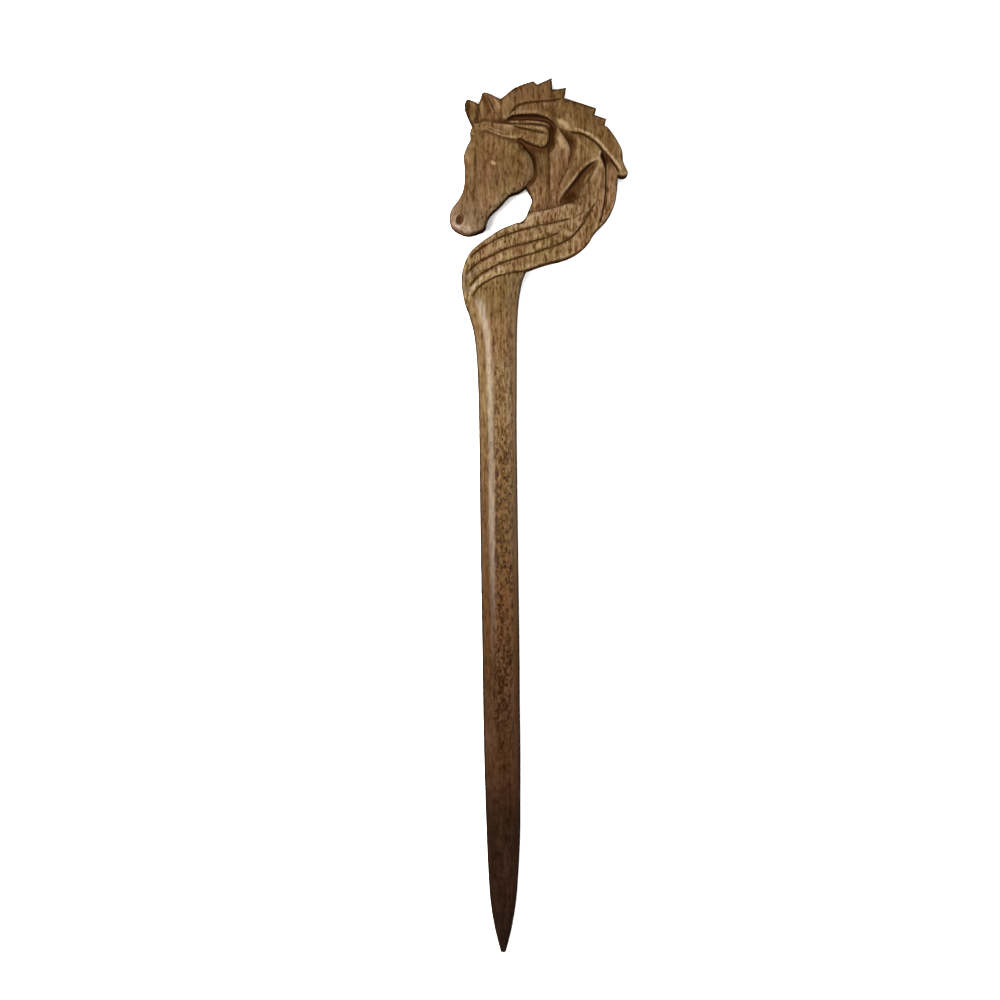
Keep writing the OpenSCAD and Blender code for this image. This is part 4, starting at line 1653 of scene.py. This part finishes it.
class Spot:
    """What the finish reads at each point of the stick: its place and the stored marks."""

    def __init__(self, graph: Graph, shift: Array) -> None:
        """Adds the nodes that read them.

        Args:
            graph: The material's tree.
            shift: From the drawing to the frame.
        """
        metres = graph.node("ShaderNodeTexCoord", {}, {}, "Object")
        scaled = {0: metres, "Scale": 1 / MM}
        self.place = graph.node("ShaderNodeVectorMath", {"operation": "SCALE"}, scaled)
        self.x, self.y = (
            graph.node("ShaderNodeSeparateXYZ", {}, {0: self.place}, axis) - float(shift[n])
            for n, axis in enumerate("XY")
        )
        self.hollow, self.dusk, self.ridge, self.cut, self.edge, self.passage = (
            graph.node("ShaderNodeAttribute", {"attribute_name": name}, {}, "Fac") for name in MARKS
        )


@dataclass(frozen=True)
class Figure:
    """The walnut's figure, with the passages' painted shade and highlights: the whole, above 0 where it is
    light, and parts that are read again.
    """

    whole: Wire
    streaks: Wire
    fine: Wire
    dashes: Wire
    curly: Wire
    muzzle: Wire


@dataclass(frozen=True)
class Walnut:
    """Oiled walnut: long brown streaks, short open pores and a curly strip down the shaft.

    Attributes:
        tones: (place along the stick, colour) rows from the point to the head, darker towards the point:
            partly the wood's own tone and partly painted fall-off of the light.
        shade: Tint of the darkest grain, and of the painted shade of the dark passages. A tint multiplies
            the wood's colour.
        pale_grain_and_highlight: Tint of the lightest grain, and of the painted highlights of the light
            passages and along the ridges.
        curly: Tint of the dark marks of the curly strip.
        rosy: Tint of the pinkish passages.
        olive: Tint of the greenish passages.
        muzzle: Tint of the muzzle.
        dusk: Tint of the painted shade in the valleys.
        wall: Tint of the painted shade on the walls and of the painted dark outline.
        stain_and_shade: Colour of the dark stain and the painted shade in the hollows.
        line_stain_and_shade: Colour of the dark stain and the painted shade in the knife lines.
        painted_highlight: Pale colour of the painted highlights on the facet, the rolls, the wedge's rib,
            the neck, the eye and the ears.
        bend: Slow bend of the grain sideways.
        broad: Broad light and dark bands.
        streaks: Long streaks.
        fibres: Fine fibres.
        flame: Flames across the grain.
        dashes: Short open pores.
        veins: Thin dark veins.
        curl: Waves of the curly strip.
        rings: Dark rings to one wave of the curl.
        tint: Slow change from the pinkish to the greenish passages.
        calm_muzzle: How much of its figure the muzzle lacks.
        calm_wrap: How much of its pores the wrap lacks.
        passage_even: How far a passage darkens all of its wood.
        passage_grain: How far it follows the streaks and fibres.
        lift: What lightens all of the figure.
        roughness: Roughness of the bare wood.
        varnish: Weight of the thin coat of varnish.
        gloss: Roughness of that coat.
        pore: Depth of the grain in the surface.
        pore_strength: Strength of that relief.
        passages: Dark and light passages: the wood's own figure, and painted shade and painted highlights
            on the carving.
    """

    tones: tuple[tuple[float, Triple], ...] = (
        (0.0, (0.004, 0.002, 0.0013)), (14.0, (0.008, 0.0034, 0.0017)), (28.0, (0.0078, 0.0033, 0.0016)),
        (42.0, (0.0172, 0.0069, 0.0028)), (56.0, (0.0202, 0.0088, 0.0039)),
        (78.0, (0.0276, 0.0122, 0.0034)), (100.0, (0.0415, 0.0205, 0.0064)),
        (122.0, (0.0618, 0.0362, 0.0142)), (145.0, (0.0485, 0.0276, 0.0084)),
        (151.5, (0.067, 0.041, 0.0172)), (158.0, (0.0665, 0.0402, 0.018)),
        (168.0, (0.048, 0.0266, 0.0107)), (176.0, (0.048, 0.0264, 0.0098)),
        (183.0, (0.0428, 0.0232, 0.0083)), (190.0, (0.0455, 0.0258, 0.0102)),
    )
    shade: Triple = (0.42, 0.31, 0.18)
    pale_grain_and_highlight: Triple = (1.65, 1.85, 2.3)
    curly: Triple = (0.4, 0.38, 0.34)
    rosy: Triple = (1.05, 0.98, 1.03)
    olive: Triple = (0.98, 1.0, 0.94)
    muzzle: Triple = (0.98, 1.0, 1.2)
    dusk: Triple = (0.45, 0.34, 0.26)
    wall: Triple = (0.24, 0.15, 0.09)
    stain_and_shade: Triple = (0.045, 0.0172, 0.0074)
    line_stain_and_shade: Triple = (0.022, 0.0085, 0.0014)
    painted_highlight: Triple = (0.125, 0.09, 0.05)
    bend: Noise = Noise((0.06, 0.03, 0.05), weight=3.0)
    broad: Noise = Noise((0.5, 0.016, 0.3), weight=0.7, roughness=0.6)
    streaks: Noise = Noise((1.3, 0.1, 0.9), weight=1.1, roughness=0.6)
    fibres: Noise = Noise((2.2, 0.42, 1.8), weight=1.6, roughness=0.6)
    flame: Noise = Noise((0.42, 0.8, 0.4), weight=0.35, distortion=0.6)
    dashes: Noise = Noise((2.4, 0.6, 2.2), weight=-0.38, detail=1.0, distortion=0.3, sharp=(0.53, 0.6))
    veins: Noise = Noise((1.0, 0.035, 0.8), sharp=(0.6, 0.7))
    curl: Noise = Noise((1.5, 0.7, 0.8), detail=1.0, distortion=1.0)
    rings: float = 8.0
    tint: Noise = Noise((0.16, 0.07, 0.1))
    calm_muzzle: float = 0.45
    calm_wrap: float = 0.14
    passage_even: float = 0.26
    passage_grain: float = 0.8
    lift: float = 0.12
    roughness: float = 0.6
    varnish: float = 0.12
    gloss: float = 0.22
    pore: float = 0.07
    pore_strength: float = 0.14
    # Some light passages, on the facet, the eye, the ears, the rolls and the shaft's shoulder, are painted
    # highlights; some dark ones, in the pockets, the nostril and beside the neck's muscle, are painted
    # shade.
    passages: tuple[Passage, ...] = tuple(Passage(*row) for row in (
        ((10.6, 185.4), 0.6, 5, 1), ((11.7, 153.5), 0.4, 4.5, 0.9), ((3.7, 152.5), 0.45, 4.5, 0.7),
        ((-6.1, 172.3), 0.28, 6, 0.95), ((-7.4, 169), 1, 5, 0.2), ((3.3, 171.5), 0.3, 3, 0.6),
        ((-7.9, 183.6), 1.1, 2.3, 2.4, 8), ((17.6, 180.6), 0.45, 3, 0.4),
        ((22.6, 171.8), 0.5, 1.8, 0.9, 25), ((7, 173.8), 1.2, 2.4, 0.7, 20),
        ((-3.6, 184.6), 0.65, 2.3, 1.9, 22), ((14.6, 174.8), 0.5, 2.6, 0.5), ((14.2, 163.9), 2.5, 1.6, 1.6),
        ((-2.2, 184), 0.3, 1.7, -1.2, 26), ((-1, 183.8), 0.65, 0.8, -1.3, 20),
        ((-6.6, 184.4), 0.3, 0.9, -0.9), ((-2.15, 171.5), 0.3, 0.62, -2.3, 75),
        ((-3.55, 171.8), 0.3, 0.5, 1.3), ((12.9, 179.9), 1.2, 2.3, -1.75, 57),
        ((17.3, 178.15), 0.3, 2.3, -1.5, 68), ((21.3, 175.2), 0.3, 2.4, -1.6, 43),
        ((24.5, 171.5), 0.3, 2.1, -1.6, 38), ((-2.2, 176.4), 3, 1.5, -0.55), ((-4.7, 104), 0.6, 22, 0.3),
        ((1.6, 80), 1.6, 12, -0.2), ((12.6, 174.4), 0.9, 2.4, -0.4), ((7.8, 179), 1, 0.6, -0.6),
        ((10.5, 177.8), 0.85, 2.4, 2.3), ((5.6, 176.6), 1.3, 0.6, 0.9, 15),
        ((9.6, 175.1), 1.3, 0.8, 1.4, 20), ((8.4, 176.9), 0.7, 1, -0.7),
        ((18.15, 168.5), 0.24, 1.8, -1.4, -29.5), ((9.7, 168.5), 0.5, 6.5, 1),
        ((13.4, 177.5), 0.75, 3, 1.2, 34), ((12.2, 176.3), 0.85, 2.3, -1.6, 24),
        ((-5.4, 138.6), 0.9, 1.8, -0.8, -20), ((14.2, 168.8), 1.6, 4, 0.35, -35),
        ((23.6, 166), 2, 6, -0.85), ((18.5, 174.5), 2.5, 3, -0.9), ((-1, 169), 6.5, 10, 0.12),
        ((-4.2, 97), 0.5, 9, 0.45), ((-1.45, 97.5), 0.3, 11, 1.2), ((-3.3, 79), 0.5, 9, 0.3),
        ((-0.3, 78), 0.45, 14, 0.5), ((-0.5, 48), 1.2, 15, 0.35), ((2.2, 48), 0.7, 16, -0.4),
        ((9, 162.6), 3.4, 0.55, 0.9, 20), ((-8.3, 157.6), 2.6, 0.5, -0.9, -18),
        ((-9.5, 159.3), 0.6, 0.9, 1.5, -24), ((-8.8, 161.4), 2.6, 3, 0.4),
        ((-5.1, 159.4), 0.7, 2, 0.8, -10), ((-6, 157.5), 0.7, 1.6, 0.5, -30), ((2.9, 170.6), 3, 3.5, 0.35),
        ((7.5, 184.2), 4.5, 2.2, 0.25), ((22.6, 177), 1.8, 3, 0.25), ((-2.1, 20.5), 0.7, 9, 0.7),
        ((0.7, 21.2), 0.9, 4, -1), ((-3.1, 46.5), 1, 3.5, -0.9), ((-0.4, 56), 0.7, 6, 0.5),
        ((-0.5, 38), 3.2, 1.4, -0.9), ((-1.2, 33), 2.4, 2.4, 0.5),
    ))

    def figure(self, graph: Graph, spot: Spot) -> Figure:
        """Adds the nodes of the figure.

        Args:
            graph: The material's tree.
            spot: What is read at each point.

        Returns:
            The figure.
        """
        bend = self.bend.read(graph, spot.place) * self.bend.weight
        grain = spot.place + graph.node("ShaderNodeCombineXYZ", {}, {"X": bend})
        broad, streaks, fibres, dashes, veins = (
            noise.read(graph, grain)
            for noise in (self.broad, self.streaks, self.fibres, self.dashes, self.veins)
        )
        flame = self.flame.read(graph, spot.place)
        curl = self.curl.raw(graph, spot.place)
        strip = Zone.STRIP_ACROSS.over(spot.x) * Zone.STRIP_ALONG.over(spot.y)
        curly = Fade.CURL_DARK.over(abs((curl * self.rings).sine())) * strip
        waves = Fade.CURL_LIGHT.over(curl) * strip * Fade.CURL_LIGHT_UP_SHAFT.over(spot.y)
        muzzle = Fade.MUZZLE_ACROSS.over(spot.x) * Zone.MUZZLE_ALONG.over(spot.y)
        sides = Fade.CALM_RIGHT.over(spot.x) + Fade.CALM_LEFT.over(spot.x)
        calm = Fade.BELOW_THE_WRAP.over(spot.y) * sides + muzzle * self.calm_muzzle
        busy = Fade.FIGURE_UP_SHAFT.over(spot.y) * Fade.FIGURE_INTO_HEAD.over(spot.y) * (1.0 - calm)

        whole = broad * self.broad.weight + streaks * self.streaks.weight + fibres * self.fibres.weight
        whole = whole + flame * self.flame.weight + dashes * self.dashes.weight
        whole = whole - veins * Fade.VEINS_INTO_HEAD.over(spot.y) - curly + waves
        whole = whole + flame * Fade.FLAMES_UP_SHAFT.over(spot.y)
        whole = whole - dashes * Zone.WRAP_ALONG.over(spot.y) * self.calm_wrap
        fine = streaks + fibres
        # the passages add the wood's own dark and light passages, and also painted shade and painted
        # highlights
        passage = spot.passage * (self.passage_even + fine * self.passage_grain)
        whole = whole * busy - passage + self.lift
        return Figure(whole, streaks, fine, dashes, curly, muzzle)

    def material(self, shift: Array, length: float) -> bpy.types.Material:
        """Builds the material.

        Args:
            shift: From the drawing to the frame.
            length: The stick's length.

        Returns:
            The material.
        """
        material = bpy.data.materials.new("oiled_walnut")
        material.use_nodes = True
        graph = Graph(material.node_tree)
        spot = Spot(graph, shift)
        figure = self.figure(graph, spot)
        tint = self.tint.raw(graph, spot.place)
        # dark stain and painted shade gather in the hollows
        stained_and_shaded = Fade.SOAKED.over(spot.hollow)
        line_stain_and_shade_share = Fade.INKED.over(spot.cut)
        stops = [(at / length, colour) for at, colour in self.tones]
        wood = graph.node("ShaderNodeValToRGB", {"stops": stops}, {0: spot.y / length})
        for share, colour, blend in (
            # dark and light grain, with the painted shade and painted highlights of the passages
            (Fade.GRAIN_DARK.over(figure.whole), self.shade, "MULTIPLY"),
            (Fade.GRAIN_LIGHT.over(figure.whole), self.pale_grain_and_highlight, "MULTIPLY"),
            (figure.curly * Fade.CURL_DARK_UP_SHAFT.over(spot.y), self.curly, "MULTIPLY"),
            (Fade.PINKISH.over(tint), self.rosy, "MULTIPLY"),
            (Fade.GREENISH.over(tint), self.olive, "MULTIPLY"),
            (figure.muzzle, self.muzzle, "MULTIPLY"),
            # painted highlight along the ridges
            (spot.ridge * 0.9, self.pale_grain_and_highlight, "MULTIPLY"),
            # painted shade in the valleys
            (spot.dusk, self.dusk, "MULTIPLY"),
            # pale painted highlights where a passage is strongly light
            (Fade.RUBBED_PALE.over(spot.passage) * (0.85 + figure.fine * 2.0), self.painted_highlight, "MIX"),
            # painted shade on the walls and along the outline
            (spot.edge, self.wall, "MULTIPLY"),
            # dark stain and painted shade in the hollows
            (stained_and_shaded, self.stain_and_shade, "MIX"),
            # dark stain and painted shade in the knife lines
            (line_stain_and_shade_share, self.line_stain_and_shade, "MIX"),
        ):
            wood = graph.mix(share, wood, colour, blend)
        grooves = figure.whole * 0.4 - figure.dashes * 0.4 - figure.curly * 0.25
        pores = {"Strength": self.pore_strength, "Distance": self.pore * MM, "Height": grooves}
        handled = Fade.VARNISH_UP_SHAFT.over(spot.y) * Fade.VARNISH_INTO_HEAD.over(spot.y)
        bare = (1.0 - spot.edge) * (1.0 - stained_and_shaded) * (1.0 - line_stain_and_shade_share) * (1.0 - spot.dusk)
        inputs = {
            "Base Color": wood, "Roughness": self.roughness - figure.whole * 0.1,
            "Normal": graph.node("ShaderNodeBump", {}, pores), "Specular IOR Level": 0.0,
            "Coat Weight": bare * handled * (1.0 + figure.streaks * 1.3) * self.varnish,
            "Coat Roughness": self.gloss,
        }
        surface = graph.node("ShaderNodeBsdfPrincipled", {}, inputs)
        graph.node("ShaderNodeOutputMaterial", {}, {"Surface": surface})
        return material


# the carved piece


@dataclass(frozen=True)
class Marks:
    """Works out what the finish needs to know at each point of the skin.

    A pair is a gain and a threshold, or the ends of a smooth step.

    Attributes:
        near: Blur of the relief that shows narrow hollows and ridges.
        wide: Blur that shows wide ones.
        narrow_hollow: Pair for a narrow hollow.
        wide_hollow: Pair for a wide one.
        valley: Pair for the painted shade in a valley.
        ridge: Pair for the painted highlight on a ridge.
        head: Step along the stick into the carved head.
        under: Step from below the carved face up to it.
        over: Step from above the carved face down to it.
        crest: Step along the stick into the crest, whose painted dark outline is dark for longer.
        muzzle: Steps along the stick and across it into the muzzle, whose outline is too.
        outline: How far in the painted dark outline reaches, and what it gains there.
        outline_fade: Step from the inner end of that reach to where the outline is darkest.
        outline_strength: How dark it gets.
        upright: Step of the normal's rise into a wall.
        off_floor: Step up from the flat back.
    """

    near: float = 0.45
    wide: float = 1.3
    narrow_hollow: Pair = (2.4, 0.15)
    wide_hollow: Pair = (0.8, 0.3)
    valley: Pair = (1.6, 0.05)
    ridge: Pair = (-7.0, 0.15)
    head: Pair = (139.0, 141.0)
    under: Pair = (-1.1, -0.6)
    over: Pair = (0.7, 0.4)
    crest: Pair = (178.0, 182.0)
    muzzle: Rows = ((159.5, 157.5), (155.2, 156.2), (-3.0, -4.5))
    outline: Pair = (0.45, 0.35)
    outline_fade: Pair = (1.0, 0.15)
    outline_strength: float = 0.85
    upright: Pair = (0.62, 0.2)
    off_floor: Pair = (0.3, 0.7)

    @staticmethod
    def above(values: Array, pair: Pair) -> Array:
        """The values times a gain, less a threshold, held between 0 and 1."""
        return np.clip(values * pair[0] - pair[1], 0, 1)

    def store(self, mesh: bpy.types.Mesh, stick: Stick, shift: Array, passages: Sequence[Passage]) -> None:
        """Stores how hollow, how deep in a valley, how high and how upright each point is, and the
        passages.

        These mark stain and painted shade in the hollows, painted shade in the valleys, on the walls and
        along the outline, and painted highlights on the ridges. The passages carry the wood's figure,
        painted shade and painted highlights.

        Args:
            mesh: The finished mesh.
            stick: The solid.
            shift: From the drawing to the frame.
            passages: The passages: the wood's figure, painted shade and painted highlights.
        """
        relief = stick.relief
        count = len(mesh.vertices)
        places, normals = np.zeros(3 * count, np.float32), np.zeros(3 * count, np.float32)
        mesh.vertices.foreach_get("co", places)
        mesh.vertex_normals.foreach_get("vector", normals)
        x, y, z = (places.reshape(-1, 3).astype(float) / MM - shift).T
        near, wide = (
            relief.sample(relief.soften(relief.z, blur) - relief.z, x, y) for blur in (self.near, self.wide)
        )
        height = z - relief.sample(relief.z, x, y)
        on_top = step(y, self.head) * step(height, self.under) * step(height, self.over)
        passage = sum(one.strength(x, y) for one in passages)
        bare = on_top * np.clip(1 + passage, 0, 1)
        # narrow and wide hollows get dark stain and painted shade
        hollow = np.maximum(self.above(near, self.narrow_hollow), self.above(wide, self.wide_hollow)) * bare
        # a painted dark outline just inside the head's outline, reaching further in at the crest and the
        # muzzle
        muzzle = step(y, self.muzzle[0]) * step(y, self.muzzle[1]) * step(x, self.muzzle[2])
        reach = self.outline[0] + self.outline[1] * np.maximum(step(y, self.crest), muzzle)
        outline = step(relief.sample(stick.inset, x, y) / reach, self.outline_fade) * self.outline_strength
        # walls get painted shade
        wall = step(normals[2::3], self.upright) * step(z, self.off_floor)
        values = {
            # stain and painted shade in the hollows, painted shade in the valleys
            "hollow": hollow, "dusk": self.above(wide, self.valley) * bare,
            # the ridges get a painted highlight
            "ridge": self.above(near, self.ridge) * on_top,
            # the walls and the outline get painted shade
            "edge": np.maximum(wall, outline * on_top), "passage": passage,
        }
        for name, value in values.items():
            mesh.attributes.new(name, "FLOAT", "POINT").data.foreach_set("value", value.astype(np.float32))


@dataclass
class CarvedStick:
    """The one wooden piece: head and shaft in one closed skin.

    Attributes:
        carvings: The carved parts of the head, in the order in which they are cut.
        shaft: The stick below the head.
        carver: Cuts the hair lines.
        finish: The wood.
        marks: What the finish is told at each point.
        sanding: How far the carved surface is softened by sanding.
        faces: Most triangles in the finished mesh.
    """

    carvings: list[Carving] = field(
        default_factory=lambda: [Neck(), Strands(), Face(), Ears(), Mane(), Forelock()]
    )
    shaft: Shaft = field(default_factory=Shaft)
    carver: LineCarver = field(default_factory=LineCarver)
    finish: Walnut = field(default_factory=Walnut)
    marks: Marks = field(default_factory=Marks)
    sanding: float = 0.12
    faces: int = 190_000

    def solid(self) -> Stick:
        """Carves the relief and sets it on the shaft.

        Returns:
            The whole solid.
        """
        relief = Relief()
        for carving in self.carvings:
            for tool in carving.tools():
                tool.work(relief)
        relief.z = relief.soften(relief.z, self.sanding)
        return Stick(relief, self.shaft)

    @staticmethod
    def shift() -> Array:
        """From the drawing to the frame, in millimetres."""
        low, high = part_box(NODE)
        outline = closed_curve(HEAD_OUTLINE)
        middle = (outline[:, 0].min() + outline[:, 0].max()) / 2
        return np.array([(low.x + high.x) / 2 / MM - middle, low.y / MM, low.z / MM])

    def build(self) -> bpy.types.Object:
        """Makes the piece.

        Returns:
            The finished object, dressed and riding on its body.
        """
        stick = self.solid()
        shift = self.shift()
        skin = Skin(stick)
        points, quads = skin.build()
        log.info("skin: %d points, %d faces", len(points), len(quads))
        blank = placed("blank", self.mesh(points + shift, quads))
        low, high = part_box(NODE)
        wood = self.finish.material(shift, float(high.y - low.y) / MM)
        lines = [line for carving in self.carvings for line in carving.hair_lines()]
        paths = self.carver.paths(lines, stick, shift)
        self.carver.cut(blank, paths, wood)
        thin = blank.modifiers.new("thin", "DECIMATE")
        thin.ratio = min(1.0, self.faces / (2 * len(quads)))
        piece = placed("carved_stick", self.applied(blank))
        for used in (blank, paths):
            bpy.data.objects.remove(used)
        self.marks.store(piece.data, stick, shift, self.finish.passages)
        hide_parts(NODE)
        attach(piece, "root")
        log.info("carved_stick: %d faces, %d hair lines", len(piece.data.polygons), len(lines))
        return piece

    @staticmethod
    def mesh(points: Array, quads: Array) -> bpy.types.Mesh:
        """Makes a mesh of four-sided faces.

        Args:
            points: The points, in millimetres.
            quads: Rows of four point numbers.

        Returns:
            The mesh, in metres.
        """
        mesh = bpy.data.meshes.new("blank")
        mesh.vertices.add(len(points))
        mesh.vertices.foreach_set("co", (points * MM).astype(np.float32).ravel())
        mesh.loops.add(4 * len(quads))
        mesh.loops.foreach_set("vertex_index", quads.astype(np.int32).ravel())
        mesh.polygons.add(len(quads))
        mesh.polygons.foreach_set("loop_start", np.arange(0, 4 * len(quads), 4, dtype=np.int32))
        mesh.update(calc_edges=True)
        mesh.validate()
        return mesh

    @staticmethod
    def applied(source: bpy.types.Object) -> bpy.types.Mesh:
        """The plain mesh of an object with its modifiers."""
        graph = bpy.context.evaluated_depsgraph_get()
        return bpy.data.meshes.new_from_object(
            source.evaluated_get(graph), preserve_all_data_layers=True, depsgraph=graph
        )


# the studio


class Side(Enum):
    """Where a softbox stands, as (azimuth from +X towards +Y, angle from straight up) in degrees."""

    LEFT_ABOVE = (180.0, 27.0)
    FRONT_LEFT = (214.0, 60.0)
    RIGHT = (15.0, 55.0)


@dataclass(frozen=True)
class Softbox:
    """A rectangular soft light aimed at the stick.

    Attributes:
        name: Its name.
        side: Where it stands.
        away: Distance from the stick.
        width: Size across the stick.
        length: Size along the stick.
        power: Power in watts.
        along: How far up the stick from the picture's centre it is aimed.
        tint: Its colour.
    """

    name: str
    side: Side
    away: float
    width: float
    length: float
    power: float
    along: float = 0.0
    tint: Triple = (1.0, 1.0, 1.0)

    def build(self, centre: Vector) -> bpy.types.Object:
        """Sets up the light.

        Args:
            centre: The picture's centre.

        Returns:
            The light.
        """
        around, down = (math.radians(v) for v in self.side.value)
        way = Vector((math.cos(around) * math.sin(down), math.sin(around) * math.sin(down), math.cos(down)))
        data = bpy.data.lights.new(self.name, "AREA")
        data.shape, data.size, data.size_y = "RECTANGLE", self.length, self.width
        data.energy, data.color = self.power, self.tint
        light = placed(self.name, data)
        light.location = centre + Vector((0, self.along, 0)) + way * self.away
        light.rotation_euler = (-way).to_track_quat("-Z", "Y").to_euler()
        return light


@dataclass
class Studio:
    """Pale floor, soft light and the overhead camera.

    Attributes:
        boxes: The softboxes.
        sky: Brightness of the room.
        field: Width of the picture at the camera's sharp plane, in metres.
        height: Height of the camera above that plane.
        plane: Height of that plane above the floor.
        centre: The picture's centre in the frame.
        paper: Mottle of the floor, in cycles to the metre.
        whites: The floor's two whites.
    """

    boxes: tuple[Softbox, ...] = (
        Softbox("key", Side.LEFT_ABOVE, 0.6, 0.3, 0.15, 8.3, 0.018, (1.0, 0.94, 0.83)),
        Softbox("window", Side.FRONT_LEFT, 0.8, 0.6, 0.8, 3.7),
        Softbox("fill", Side.RIGHT, 0.9, 0.8, 0.8, 5.0),
    )
    sky: float = 1.62
    field: float = 0.2169
    height: float = 0.65
    plane: float = 0.005
    centre: Pair = (-0.00836, 0.00361)
    paper: Noise = Noise((60.0, 60.0, 60.0), detail=3.0)
    whites: tuple[Triple, Triple] = ((0.95, 0.95, 0.95), (0.98, 0.98, 0.98))

    def floor(self) -> bpy.types.Object:
        """Lays the pale floor under the stick."""
        half, dull = 2.5, 0.9
        corners = [(-half, -half, 0), (half, -half, 0), (half, half, 0), (-half, half, 0)]
        mesh = bpy.data.meshes.new("floor")
        mesh.from_pydata(corners, [], [(0, 1, 2, 3)])
        material = bpy.data.materials.new("pale_floor")
        material.use_nodes = True
        graph = Graph(material.node_tree)
        paper = self.paper.raw(graph, graph.node("ShaderNodeTexCoord", {}, {}, "Object"))
        white = graph.mix(paper, *self.whites)
        surface = graph.node("ShaderNodeBsdfPrincipled", {}, {"Base Color": white, "Roughness": dull})
        graph.node("ShaderNodeOutputMaterial", {}, {"Surface": surface})
        mesh.materials.append(material)
        floor = placed("floor", mesh)
        return floor

    def camera(self) -> bpy.types.Object:
        """Hangs the camera over the stick, looking straight down."""
        data = bpy.data.cameras.new("overhead")
        data.sensor_width = 36.0
        data.lens = data.sensor_width * self.height / self.field
        data.clip_start, data.clip_end = 0.01, 10.0
        camera = placed("overhead", data)
        camera.location = (*self.centre, self.plane + self.height)
        bpy.context.scene.camera = camera
        return camera

    def room(self) -> None:
        """Lights the room evenly and shows colours as they are."""
        scene = bpy.context.scene
        scene.world = scene.world or bpy.data.worlds.new("room")
        scene.world.use_nodes = True
        graph = Graph(scene.world.node_tree)
        glow = graph.node("ShaderNodeBackground", {}, {"Color": (1.0, 1.0, 1.0, 1.0), "Strength": self.sky})
        graph.node("ShaderNodeOutputWorld", {}, {"Surface": glow})
        scene.view_settings.view_transform = "Standard"
        scene.view_settings.look = "None"

    def build(self) -> None:
        """Sets up the whole studio."""
        self.camera()
        self.floor()
        self.room()
        for box in self.boxes:
            box.build(Vector((*self.centre, self.plane)))
        log.info("studio: floor, camera and %d softboxes", len(self.boxes))


def main() -> None:
    """Builds the studio and the stick."""
    logging.basicConfig(level=logging.INFO, format="%(name)s %(message)s")
    Studio().build()
    CarvedStick().build()


if __name__ == "__main__":
    main()
